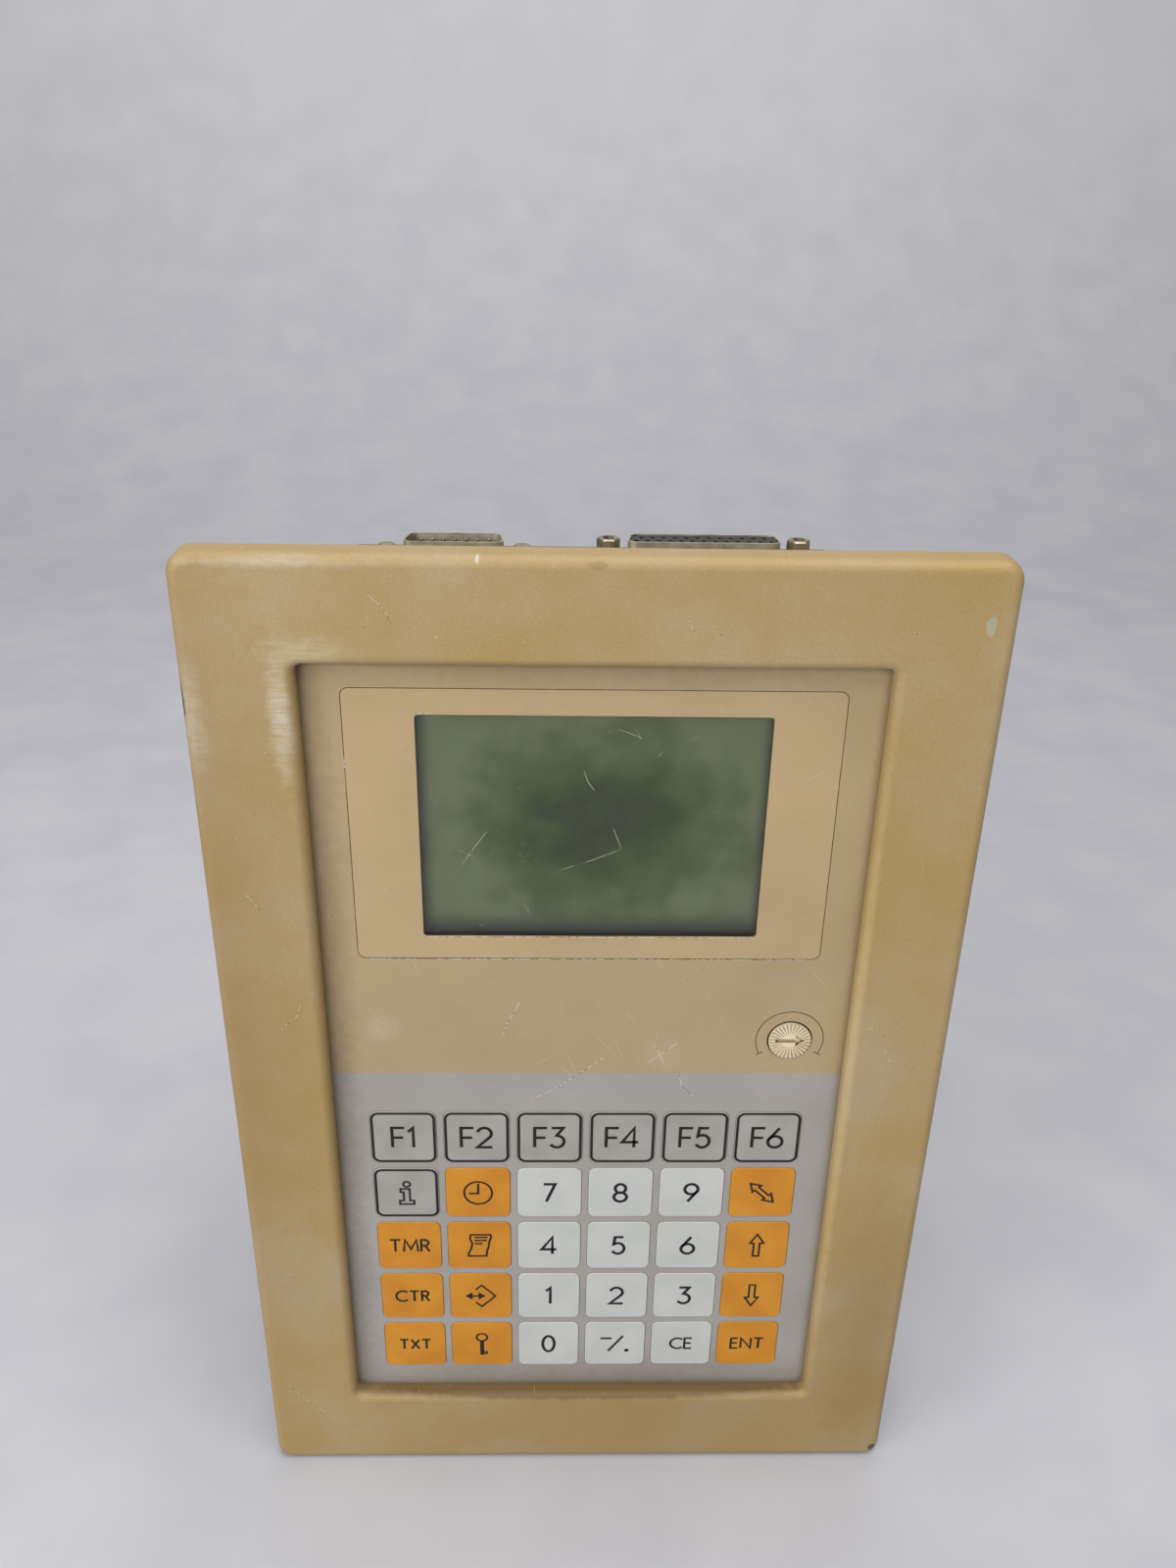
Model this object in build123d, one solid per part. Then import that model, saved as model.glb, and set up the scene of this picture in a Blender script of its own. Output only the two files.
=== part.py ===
from build123d import *
import math
import os

# Industrial operator panel. A painted cast frame holds a printed foil with thirty keys,
# a display window and a contrast knob. A sheet steel housing behind it passes through
# the cabinet door and holds the boards; its connectors look up, its supply terminal down.
# Millimetres. X runs to the right, Y into the cabinet and Z up. The origin is the centre
# of the frame's rear seating face, so what shows at the front lies at negative Y.

# Keypad
key_columns = 6
key_rows = 5
key_pitch = 20.0
key_width = 18.0
key_height = 17.8
key_corner = 2.0
key_edge_round = 0.25
key_proud = 0.25
key_travel = 0.6
key_gap = 0.1
key_guide = 2.0
key_lip = 0.5
key_flange = 0.8
pocket_gap = 0.15
plunger_radius = 2.5
plunger_length = 0.5
key_names = [
    ["key_f1", "key_f2", "key_f3", "key_f4", "key_f5", "key_f6"],
    ["key_info", "key_clock", "key_7", "key_8", "key_9", "key_diagonal"],
    ["key_timer", "key_list", "key_4", "key_5", "key_6", "key_up"],
    ["key_counter", "key_transfer", "key_1", "key_2", "key_3", "key_down"],
    ["key_text", "key_lock", "key_0", "key_sign_point", "key_clear", "key_enter"],
]

# Snap domes, one under each key
dome_radius = 5.0
dome_height = 0.85
dome_sheet = 0.15
dome_play = 0.05

# Display
window_width = 84.0
window_height = 60.6
window_corner = 1.0
insert_width = 117.6
insert_height = 73.8
insert_corner = 2.0
insert_seam = 0.1
pane_lap = 4.5
pane_thickness = 1.5
pane_corner = 2.0
bezel_sheet = 0.5
bezel_reveal = 1.0
glass_thickness = 2.2
backlight_thickness = 1.2

# Layout of the front, from the outside inwards and from the top down
side_band = 25.8
top_band = 25.6
bottom_band = 27.8
field_margin = 8.2
display_margin = 7.0
contrast_zone = 48.6
keypad_margin = 7.2

# Front frame
frame_depth = 8.0
frame_corner = 5.0
frame_edge_round = 2.75
recess_depth = 5.0
recess_corner = 2.0
recess_edge_round = 2.2
rim_lap = 4.8

# Foil and carrier plate
foil_thickness = 0.5
fit_gap = 0.2
lcd_boss_radius = 3.5
lcd_boss_offset = 5.0
peg_radius = 1.5
peg_head = 1.2
peg_inset = 10.0
pad_strip = 6.0
pad_gap = 0.9

# Contrast knob and its potentiometer
knob_radius = 5.6
knob_proud = 0.6
knob_lift = 0.4
knob_well_gap = 0.4
knob_well_floor = 0.8
knob_inset = 6.7
knob_rise = 23.2
knob_flutes = 30
flute_radius = 0.45
flute_tip_radius = 0.05
flute_reach = 3.6
slot_reach = 3.8
slot_width = 1.3
slot_depth = 0.7
arrow_length = 2.2
arrow_height = 3.6
shaft_radius = 2.0
shaft_length = 5.5
shaft_play = 0.05
potentiometer_width = 13.0
potentiometer_depth = 8.0
potentiometer_corner = 1.0

# Seal between frame and cabinet door
gasket_inset = 2.5
gasket_width = 4.0
gasket_groove = 2.0
gasket_gap = 0.05

# Threaded studs that hold the panel in the door
stud_rows = 3
stud_radius = 2.0
stud_length = 16.0
stud_root_radius = 1.7
stud_bite = 5.0
stud_inset = 14.5
stud_spacing = 112.0
stud_chamfer = 0.5

# Screws
screw_radius = 1.5
screw_head_radius = 2.75
screw_head_height = 2.0
screw_head_round = 0.7
screw_cross_width = 0.8
screw_cross_length = 3.0
screw_cross_depth = 0.9
short_shank = 6.0
thread_play = 0.02
hole_play = 0.2

# Rear housing and cover
housing_side_room = 2.6
seat_band = 13.5
housing_depth = 48.0
housing_corner = 3.0
sheet = 1.2
housing_flange = 10.5
housing_flange_inset = 14.0
long_screw_rows = 4
long_screw_spacing = 70.0
long_screw_bite = 3.8
return_lip = 14.0
cover_screw_inset = 3.2
cover_screw_end = 7.5
vent_rows = 9
vent_columns = 2
vent_width = 36.0
vent_height = 3.0
vent_pitch = 8.0
vent_column_pitch = 44.0

# Boards
board_thickness = 1.6
board_gap = 4.0
board_end_gap = 1.3
board_edge = 0.5
board_boss_radius = 3.5
board_screw_end = 19.5

# Connectors, common to both
connector_drop = 7.0
connector_flange_depth = 12.5
connector_flange_corner = 1.5
connector_flange_sheet = 0.8
connector_body_height = 11.0
shell_sheet = 0.45
shell_slope_degrees = 10.0
shell_corner = 2.2
contact_pitch = 2.77
contact_row_pitch = 2.84

# Data socket, with twenty-five contacts
data_x = 27.0
data_shell_width = 38.4
data_shell_depth = 7.9
data_shell_height = 5.9
data_post_room = 4.32
data_flange_end = 2.98
data_rows = [13, 12]
data_hole_radius = 0.6
data_hole_depth = 5.0
data_insert_drop = 0.3

# Service plug, with fifteen pins
service_x = -34.4
service_shell_width = 25.3
service_shell_depth = 8.4
service_shell_height = 5.5
service_post_room = 4.01
service_flange_end = 2.89
service_rows = [8, 7]
service_pin_radius = 0.5
service_pin_height = 4.8
service_insert_rise = 0.6

# Posts beside the connectors
hex_across_flats = 5.0
hex_height = 5.9
hex_hole_radius = 1.42
hex_hole_depth = 5.0
hex_chamfer = 0.3
post_neck_radius = 1.6
post_neck_height = 2.2
post_head_radius = 2.3
post_head_height = 1.6
post_head_round = 0.8
stem_radius = 1.42
stem_length = 8.0

# Supply terminal
terminal_x = -38.0
terminal_poles = 3
terminal_pitch = 6.0
terminal_wall = 1.0
terminal_depth = 13.0
terminal_drop = 6.8
terminal_rise = 12.0
terminal_entry = 3.4
terminal_entry_depth = 7.0
terminal_screw_radius = 1.9
terminal_screw_depth = 4.0
terminal_screw_height = 2.5
terminal_screw_slot = 0.7
terminal_screw_rise = 3.9

# Chips on the main board: centre in X, drop from the board's top end, length and width
chip_height = 4.0
chip_notch_radius = 1.2
chip_notch_depth = 0.8
processor_x = -20.0
processor_drop = 27.0
processor_length = 52.0
wide_chip_width = 14.0
memory_count = 4
memory_first_x = -44.0
memory_pitch = 18.0
memory_drop = 59.0
memory_length = 36.0
logic_columns = 3
logic_rows = 4
logic_first_x = -36.0
logic_column_pitch = 36.0
logic_first_drop = 105.0
logic_row_pitch = 16.0
logic_length = 25.0
logic_width = 7.0

# Capacitors and buffer battery on the main board, placed by their rise from its lower end
can_count = 3
can_radius = 6.25
can_height = 20.0
can_round = 1.0
can_first_x = -8.0
can_pitch = 15.0
can_rise = 17.0
battery_radius = 7.25
battery_length = 26.0
battery_x = -32.0
battery_rise = 65.0
battery_tip_radius = 2.5
battery_tip_length = 1.5
battery_saddle_width = 10.0
battery_saddle_length = 20.0

# Ribbon cables between the boards
ribbon_width = 26.0
ribbon_thickness = 0.9
header_width = 30.0
header_height = 6.0
header_depth = 8.0
keypad_ribbon_x = -18.0
keypad_ribbon_drop = 87.0
lcd_ribbon_x = 30.0
lcd_ribbon_drop = 81.0

# Every cut runs past the faces that it opens by this much
overrun = 1.0

# Places that follow from the sizes above
seat_y = 0.0
front_y = seat_y - frame_depth
foil_front = front_y + recess_depth
foil_back = foil_front + foil_thickness
key_front = foil_front - key_proud
guide_back = foil_back + key_guide
flange_back = guide_back + key_flange
keypad_board_front = flange_back + plunger_length + dome_play + dome_height
keypad_board_back = keypad_board_front + board_thickness

keypad_width = key_columns * key_pitch
keypad_height = key_rows * key_pitch
recess_width = keypad_width + 2 * field_margin
recess_height = display_margin + insert_height + contrast_zone + keypad_height + keypad_margin
frame_width = recess_width + 2 * side_band
frame_height = top_band + recess_height + bottom_band
recess_top = frame_height / 2 - top_band
recess_z = recess_top - recess_height / 2
display_z = recess_top - display_margin - insert_height / 2
keypad_top = display_z - insert_height / 2 - contrast_zone
keypad_z = keypad_top - keypad_height / 2

carrier_width = recess_width + 2 * rim_lap
carrier_height = recess_height + 2 * rim_lap
carrier_corner = recess_corner + rim_lap / 2
pad_height = keypad_height + 2 * pad_strip
peg_x = keypad_width / 2 - peg_inset
peg_z = keypad_height / 2 + pad_strip / 2

pane_width = window_width + 2 * pane_lap
pane_height = window_height + 2 * pane_lap
pane_back = foil_back + pane_thickness
glass_front = pane_back + bezel_sheet
glass_back = glass_front + glass_thickness
lcd_board_front = glass_back + backlight_thickness
lcd_board_back = lcd_board_front + board_thickness
lcd_screw_x = pane_width / 2 + lcd_boss_offset
lcd_screw_z = pane_height / 2 + lcd_boss_offset
lcd_board_width = 2 * (lcd_screw_x + lcd_boss_radius)
lcd_board_height = 2 * (lcd_screw_z + lcd_boss_radius)

knob_x = keypad_width / 2 - knob_inset
knob_z = keypad_top + knob_rise
knob_front = foil_front - knob_proud
well_floor_front = seat_y - knob_well_floor
knob_back = well_floor_front - knob_lift
well_radius = knob_radius + knob_well_gap

housing_width = keypad_width + 2 * housing_side_room
housing_height = frame_height - 2 * seat_band
housing_top = housing_height / 2
housing_inner_width = housing_width - 2 * sheet
housing_inner_height = housing_height - 2 * sheet
housing_inner_corner = housing_corner - sheet
wall_inside = housing_top - sheet
lip_width = housing_inner_width - 2 * return_lip
lip_height = housing_inner_height - 2 * return_lip
pad_width = housing_inner_width - 2 * pad_gap
cover_back = seat_y + housing_depth
cover_front = cover_back - sheet
lip_front = cover_front - sheet
board_back = lip_front - board_gap
board_front = board_back - board_thickness
board_screw_x = housing_inner_width / 2 - return_lip + board_boss_radius
board_screw_z = housing_top - board_screw_end
board_width = 2 * (board_screw_x + board_boss_radius + board_edge)
board_height = housing_inner_height - 2 * board_end_gap
board_top = board_height / 2
cover_screw_x = housing_inner_width / 2 - cover_screw_inset
cover_screw_z = housing_top - cover_screw_end
long_screw_x = recess_width / 2 + rim_lap / 2
long_screw_tip = foil_front - long_screw_bite

data_screw_spacing = data_shell_width + 2 * data_post_room
data_flange_width = data_screw_spacing + 2 * data_flange_end
service_screw_spacing = service_shell_width + 2 * service_post_room
service_flange_width = service_screw_spacing + 2 * service_flange_end
connector_y = board_front - connector_drop
connector_seat = housing_top + connector_flange_sheet
terminal_width = terminal_poles * terminal_pitch + 2 * terminal_wall
stud_x = frame_width / 2 - stud_inset


def spread(count, spacing):
    """Places spaced evenly about zero."""
    return [(i - (count - 1) / 2) * spacing for i in range(count)]


def key_places():
    """Each key's name with its centre in X and Z, row by row from the top left."""
    for row, names in enumerate(key_names):
        for column, name in enumerate(names):
            x = (column + 0.5) * key_pitch - keypad_width / 2
            z = keypad_top - (row + 0.5) * key_pitch
            yield name, x, z


def facing(y, x=0.0, z=0.0):
    """A plane seen from the front, whose own axes run along X and Z."""
    return Plane(origin=(x, y, z), x_dir=(1, 0, 0), z_dir=(0, -1, 0))


def seen_from_above(z, x=0.0, y=0.0):
    """A level plane, whose own axes run along X and Y."""
    return Plane(origin=(x, y, z), x_dir=(1, 0, 0), z_dir=(0, 0, 1))


def plate(width, height, corner, front, back, x=0.0, z=0.0):
    """A flat plate with rounded corners that spans two depths."""
    outline = facing(front, x, z) * RectangleRounded(width, height, corner)
    return extrude(outline, amount=front - back)


def block(width, height, front, back, x=0.0, z=0.0):
    """A plain block that spans two depths."""
    outline = facing(front, x, z) * Rectangle(width, height)
    return extrude(outline, amount=front - back)


def disc(radius, front, back, x=0.0, z=0.0):
    """A round pin or hole along Y that spans two depths."""
    outline = facing(front, x, z) * Circle(radius)
    return extrude(outline, amount=front - back)


def post(radius, bottom, top, x, y):
    """A round pin or hole along Z that spans two heights."""
    outline = seen_from_above(bottom, x, y) * Circle(radius)
    return extrude(outline, amount=top - bottom)


def outer_edges(solid, axis):
    """The edges round the face that lies furthest back along an axis."""
    return solid.faces().sort_by(axis)[0].outer_wire().edges()


# Frame: cast aluminium, painted, with the sunk field for foil and keys


def front_frame():
    body = plate(frame_width, frame_height, frame_corner, front_y, seat_y)
    body = fillet(outer_edges(body, Axis.Y), frame_edge_round)
    body -= plate(recess_width, recess_height, recess_corner, front_y - overrun, seat_y, z=recess_z)
    mouth = body.faces().sort_by(Axis.Y)[0].inner_wires()[0].edges()
    body = fillet(mouth, recess_edge_round)
    body -= plate(
        carrier_width + 2 * fit_gap, carrier_height + 2 * fit_gap, carrier_corner + fit_gap,
        foil_front, seat_y + overrun, z=recess_z,
    )
    body -= gasket_ring(seat_y - gasket_groove, seat_y + overrun, 0.0)
    for x, z in stud_places():
        body -= disc(stud_root_radius + thread_play, seat_y - stud_bite, seat_y + overrun, x, z)
    for x, z in long_screw_places():
        body -= disc(screw_radius + thread_play, long_screw_tip, seat_y, x, z)
    return body


def gasket_ring(front, back, gap):
    """The ring of the seal's groove, drawn in from both of its walls by a gap."""
    outside = 2 * (gasket_inset + gap)
    inside = 2 * (gasket_inset + gasket_width - gap)
    ring = plate(frame_width - outside, frame_height - outside, frame_corner, front, back)
    ring -= plate(
        frame_width - inside, frame_height - inside, frame_corner / 2, front - overrun, back + overrun
    )
    return ring


def panel_gasket():
    return gasket_ring(seat_y - gasket_groove, seat_y, gasket_gap)


def stud_places():
    return [(x, z) for x in (-stud_x, stud_x) for z in spread(stud_rows, stud_spacing)]


def mounting_studs():
    """Studs with a slimmer root, which is cast into the frame."""
    studs = []
    for x, z in stud_places():
        stud = disc(stud_radius, seat_y, seat_y + stud_length, x, z)
        tip = stud.faces().sort_by(Axis.Y)[-1].edges()
        stud = chamfer(tip, stud_chamfer)
        studs.append(stud + disc(stud_root_radius, seat_y - stud_bite, seat_y, x, z))
    return studs


# Foil, display insert and carrier plate


def long_screw_places():
    columns = (-long_screw_x, long_screw_x)
    return [(x, z) for x in columns for z in spread(long_screw_rows, long_screw_spacing)]


def key_apertures(front, back):
    """The openings that the key caps move in, between two depths."""
    width = key_width + 2 * key_gap
    height = key_height + 2 * key_gap
    corner = key_corner + key_gap
    return [plate(width, height, corner, front, back, x, z) for name, x, z in key_places()]


def front_foil():
    body = plate(carrier_width, carrier_height, carrier_corner, foil_front, foil_back, z=recess_z)
    body -= key_apertures(foil_front - overrun, foil_back + overrun)
    body -= plate(
        insert_width + 2 * insert_seam, insert_height + 2 * insert_seam, insert_corner + insert_seam,
        foil_front - overrun, foil_back + overrun, z=display_z,
    )
    body -= disc(well_radius, foil_front - overrun, foil_back + overrun, knob_x, knob_z)
    for x, z in long_screw_places():
        body -= disc(screw_radius + hole_play, foil_front - overrun, foil_back + overrun, x, z)
    return body


def display_insert():
    body = plate(insert_width, insert_height, insert_corner, foil_front, foil_back, z=display_z)
    window = plate(
        window_width, window_height, window_corner, foil_front - overrun, foil_back + overrun, z=display_z
    )
    return body - window


def display_window():
    width = pane_width - 2 * fit_gap
    height = pane_height - 2 * fit_gap
    return plate(width, height, pane_corner, foil_back, pane_back, z=display_z)


def lcd_screw_places():
    return [
        (x, display_z + z)
        for x in (-lcd_screw_x, lcd_screw_x)
        for z in (-lcd_screw_z, lcd_screw_z)
    ]


def peg_places():
    return [(x, keypad_z + z) for x in (-peg_x, 0.0, peg_x) for z in (-peg_z, peg_z)]


def carrier_plate():
    body = plate(carrier_width, carrier_height, carrier_corner, foil_back, seat_y, z=recess_z)
    body += block(pad_width, pad_height, seat_y, keypad_board_front, z=keypad_z)
    for x, z in peg_places():
        body += disc(peg_radius, keypad_board_front, keypad_board_back + peg_head, x, z)
    for x, z in lcd_screw_places():
        body += disc(lcd_boss_radius, seat_y, lcd_board_front, x, z)
        body -= disc(
            screw_radius + thread_play, lcd_board_back - short_shank, lcd_board_front + overrun, x, z
        )
    body -= key_apertures(foil_back - overrun, guide_back)
    pocket_width = key_width + 2 * (key_lip + pocket_gap)
    pocket_height = key_height + 2 * (key_lip + pocket_gap)
    body -= [
        plate(pocket_width, pocket_height, key_corner, guide_back, keypad_board_front + overrun, x, z)
        for name, x, z in key_places()
    ]
    body -= plate(
        pane_width, pane_height, pane_corner + fit_gap, foil_back - overrun, seat_y + overrun, z=display_z
    )
    body -= disc(well_radius, foil_back - overrun, well_floor_front, knob_x, knob_z)
    body -= disc(shaft_radius + knob_well_gap, foil_back - overrun, seat_y + overrun, knob_x, knob_z)
    for x, z in long_screw_places():
        body -= disc(screw_radius + hole_play, foil_back - overrun, seat_y + overrun, x, z)
    return body


# Keys: a cap that shows, a flange that holds it behind the carrier and a plunger


def key(x, z):
    cap = plate(key_width, key_height, key_corner, key_front, guide_back, x, z)
    cap = fillet(outer_edges(cap, Axis.Y), key_edge_round)
    flange_width = key_width + 2 * key_lip
    flange_height = key_height + 2 * key_lip
    cap += plate(flange_width, flange_height, key_corner, guide_back, flange_back, x, z)
    cap += disc(plunger_radius, flange_back, flange_back + plunger_length, x, z)
    return cap


def dome_cap(radius, height):
    """A flat bowl turned about Z, standing on the level plane."""
    sphere_radius = (radius**2 + height**2) / (2 * height)
    middle = radius / 2
    middle_height = math.sqrt(sphere_radius**2 - middle**2) - sphere_radius + height
    arc = ThreePointArc((0, 0, height), (middle, 0, middle_height), (radius, 0, 0))
    floor = Line((radius, 0, 0), (0, 0, 0))
    axis = Line((0, 0, 0), (0, 0, height))
    return revolve(make_face([arc, floor, axis]), Axis.Z)


def snap_domes():
    dome = dome_cap(dome_radius, dome_height)
    dome -= dome_cap(dome_radius - 2 * dome_sheet, dome_height - dome_sheet)
    return [facing(keypad_board_front, x, z) * dome for name, x, z in key_places()]


def keypad_board():
    body = block(pad_width, pad_height, keypad_board_front, keypad_board_back, z=keypad_z)
    for x, z in peg_places():
        body -= disc(
            peg_radius + thread_play, keypad_board_front - overrun, keypad_board_back + overrun, x, z
        )
    return body


# Contrast knob: a fluted disc with an arrow slot on a shaft


def contrast_knob():
    """The disc; its flutes run out towards the middle, and its slot is an arrow that points to +X."""
    body = disc(knob_radius, knob_front, knob_back, knob_x, knob_z)
    body += disc(shaft_radius, knob_back, seat_y + shaft_length, knob_x, knob_z)
    rim = Plane(origin=(knob_radius + overrun, 0, 0), x_dir=(0, 1, 0), z_dir=(-1, 0, 0))
    flute = Cone(
        flute_radius, flute_tip_radius, flute_reach + overrun, align=(Align.CENTER, Align.CENTER, Align.MIN)
    )
    face = facing(knob_front, knob_x, knob_z)
    pitch_angle = 360 / knob_flutes
    for turn in range(knob_flutes):
        angle = (turn + 0.5) * pitch_angle
        body -= face.location * Rot(0, 0, angle) * rim.location * flute
    root = slot_reach - arrow_length
    half_width, half_arrow = slot_width / 2, arrow_height / 2
    corners = [(-slot_reach, half_width), (root, half_width), (root, half_arrow), (slot_reach, 0)]
    corners += [(root, -half_arrow), (root, -half_width), (-slot_reach, -half_width)]
    return body - extrude(face * make_face(Polyline(*corners, close=True)), amount=-slot_depth)


def contrast_potentiometer():
    body = plate(
        potentiometer_width, potentiometer_width, potentiometer_corner,
        seat_y, seat_y + potentiometer_depth, knob_x, knob_z,
    )
    return body - disc(
        shaft_radius + shaft_play, seat_y - overrun, seat_y + shaft_length + knob_lift, knob_x, knob_z
    )


# Display module: sheet metal bezel, glass, backlight and its board


def lcd_bezel():
    width = pane_width - 2 * fit_gap
    height = pane_height - 2 * fit_gap
    body = plate(width, height, pane_corner, pane_back, lcd_board_front, z=display_z)
    body -= plate(
        width - 2 * bezel_sheet, height - 2 * bezel_sheet, pane_corner - bezel_sheet,
        glass_front, lcd_board_front + overrun, z=display_z,
    )
    body -= block(
        window_width + 2 * bezel_reveal, window_height + 2 * bezel_reveal,
        pane_back - overrun, glass_front + overrun, z=display_z,
    )
    return body


def lcd_layer(front, back):
    """A sheet that fills the bezel, between two depths."""
    inset = 2 * (fit_gap + bezel_sheet + insert_seam)
    corner = pane_corner - bezel_sheet
    return plate(pane_width - inset, pane_height - inset, corner, front, back, z=display_z)


def lcd_glass():
    return lcd_layer(glass_front, glass_back)


def lcd_backlight():
    return lcd_layer(glass_back, lcd_board_front)


def lcd_board():
    body = block(lcd_board_width, lcd_board_height, lcd_board_front, lcd_board_back, z=display_z)
    for x, z in lcd_screw_places():
        body -= disc(screw_radius + hole_play, lcd_board_front - overrun, lcd_board_back + overrun, x, z)
    return body


# Rear housing: folded steel sheets, welded into a tube with flanges, and a screwed cover


def board_screw_places():
    rows = (-board_screw_z, 0.0, board_screw_z)
    return [(x, z) for x in (-board_screw_x, board_screw_x) for z in rows]


def cover_screw_places():
    rows = (-cover_screw_z, 0.0, cover_screw_z)
    return [(x, z) for x in (-cover_screw_x, cover_screw_x) for z in rows]


def housing_tube():
    """The four walls, the flanges at the sides and the lip that is turned inwards at the back."""
    body = plate(housing_width, housing_height, housing_corner, seat_y, cover_front)
    flange_half = housing_width / 2 + housing_flange
    flange_height = housing_height - 2 * housing_flange_inset
    body += block(2 * flange_half, flange_height, seat_y, seat_y + sheet)
    body -= plate(
        housing_inner_width, housing_inner_height, housing_inner_corner, seat_y - overrun, lip_front
    )
    body -= block(lip_width, lip_height, lip_front - overrun, cover_front + overrun)
    for x, z in board_screw_places():
        body += disc(board_boss_radius, board_back, lip_front, x, z)
        body -= disc(screw_radius + thread_play, board_back - overrun, cover_front + overrun, x, z)
    for x, z in cover_screw_places():
        body -= disc(screw_radius + thread_play, lip_front - overrun, cover_front + overrun, x, z)
    for x, z in long_screw_places():
        body -= disc(screw_radius + hole_play, seat_y - overrun, seat_y + sheet + overrun, x, z)
    for x, width, depth, spacing in (
        (data_x, data_shell_width, data_shell_depth, data_screw_spacing),
        (service_x, service_shell_width, service_shell_depth, service_screw_spacing),
    ):
        body -= d_column(x, width, depth, 0.0, wall_inside - overrun, housing_top + overrun)
        for side in spread(2, spacing):
            body -= post(
                stem_radius + hole_play, wall_inside - overrun, housing_top + overrun, x + side, connector_y
            )
    body -= terminal_block(fit_gap)
    return body


def end_sheet_spaces():
    """Where the tube belongs to the top and bottom sheets: walls between the corners, and lips."""
    front = seat_y - overrun
    wall_width = housing_width - 2 * housing_corner
    inside = block(wall_width, 2 * wall_inside, front, cover_back)
    spaces = block(wall_width, 2 * housing_top + overrun, front, cover_back) - inside
    lips = block(lip_width, 2 * wall_inside, lip_front, cover_back)
    return spaces + lips


def housing_ends():
    return housing_tube() & end_sheet_spaces()


def housing_sides():
    return housing_tube() - end_sheet_spaces()


def rear_cover():
    body = plate(housing_width, housing_height, housing_corner, cover_front, cover_back)
    for x, z in cover_screw_places():
        body -= disc(screw_radius + hole_play, cover_front - overrun, cover_back + overrun, x, z)
    for x in spread(vent_columns, vent_column_pitch):
        for z in spread(vent_rows, vent_pitch):
            slot = facing(cover_front - overrun, x, z) * SlotOverall(vent_width, vent_height)
            body -= extrude(slot, amount=-(sheet + 2 * overrun))
    return body


# Connectors: D-shaped shells whose wide side looks to the front


def d_column(x, width, depth, grow, bottom, top):
    """An upright column of D section, grown outwards on every side."""
    lean = math.tan(math.radians(shell_slope_degrees))
    wide = width / 2 + grow
    half = depth / 2 + grow
    narrow = wide - 2 * half * lean
    corners = [(-wide, -half), (wide, -half), (narrow, half), (-narrow, half)]
    outline = make_face(Polyline(*corners, close=True))
    outline = fillet(outline.vertices(), shell_corner + grow)
    return extrude(seen_from_above(bottom, x, connector_y) * outline, amount=top - bottom)


def connector_shell(x, width, depth, height, flange_width, spacing):
    """The sheet metal flange that lies on the housing's top wall, and the shell that rises from it."""
    flange = seen_from_above(housing_top, x, connector_y)
    flange = flange * RectangleRounded(flange_width, connector_flange_depth, connector_flange_corner)
    body = extrude(flange, amount=connector_flange_sheet)
    rim = connector_seat + height
    body += d_column(x, width, depth, 0.0, housing_top, rim)
    body -= d_column(x, width, depth, -shell_sheet, housing_top - overrun, rim + overrun)
    for side in spread(2, spacing):
        body -= post(
            stem_radius + hole_play, housing_top - overrun, connector_seat + overrun, x + side, connector_y
        )
    return body


def connector_insert(x, width, depth, top, flange_width, spacing):
    """The moulded insulator: a block seated on the main board, and a core that fills the shell."""
    bottom = wall_inside - connector_body_height
    front = connector_y - connector_flange_depth / 2
    middle_z = (bottom + wall_inside) / 2
    body = block(flange_width, connector_body_height, front, board_front, x, middle_z)
    body += d_column(x, width, depth, -shell_sheet - thread_play, wall_inside, top)
    for side in spread(2, spacing):
        body -= post(stem_radius + thread_play, bottom - overrun, top + overrun, x + side, connector_y)
    return body


def contact_places(x, rows):
    """Contact centres, the longer row at the front."""
    for count, y in zip(rows, spread(2, contact_row_pitch)):
        for along in spread(count, contact_pitch):
            yield x + along, connector_y + y


def data_socket_shell():
    return connector_shell(
        data_x, data_shell_width, data_shell_depth, data_shell_height, data_flange_width, data_screw_spacing
    )


def data_socket_insert():
    top = connector_seat + data_shell_height - data_insert_drop
    body = connector_insert(
        data_x, data_shell_width, data_shell_depth, top, data_flange_width, data_screw_spacing
    )
    for x, y in contact_places(data_x, data_rows):
        body -= post(data_hole_radius, top - data_hole_depth, top + overrun, x, y)
    return body


def service_plug_shell():
    return connector_shell(
        service_x, service_shell_width, service_shell_depth, service_shell_height,
        service_flange_width, service_screw_spacing,
    )


def service_plug_insert():
    top = connector_seat + service_insert_rise
    return connector_insert(
        service_x, service_shell_width, service_shell_depth, top, service_flange_width, service_screw_spacing
    )


def service_plug_pins():
    bottom = connector_seat + service_insert_rise
    pins = []
    for x, y in contact_places(service_x, service_rows):
        pin = post(service_pin_radius, bottom, connector_seat + service_pin_height, x, y)
        pins.append(fillet(pin.faces().sort_by(Axis.Z)[-1].edges(), service_pin_radius / 2))
    return pins


def jack_post(x):
    """A hexagon post with a threaded hole for a cable plug's screw."""
    hexagon = RegularPolygon(hex_across_flats / 2, 6, major_radius=False)
    body = extrude(seen_from_above(connector_seat, x, connector_y) * hexagon, amount=hex_height)
    body = chamfer(body.faces().sort_by(Axis.Z)[-1].edges(), hex_chamfer)
    top = connector_seat + hex_height
    body -= post(hex_hole_radius, top - hex_hole_depth, top + overrun, x, connector_y)
    return body + post(stem_radius, connector_seat - stem_length, connector_seat, x, connector_y)


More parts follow.
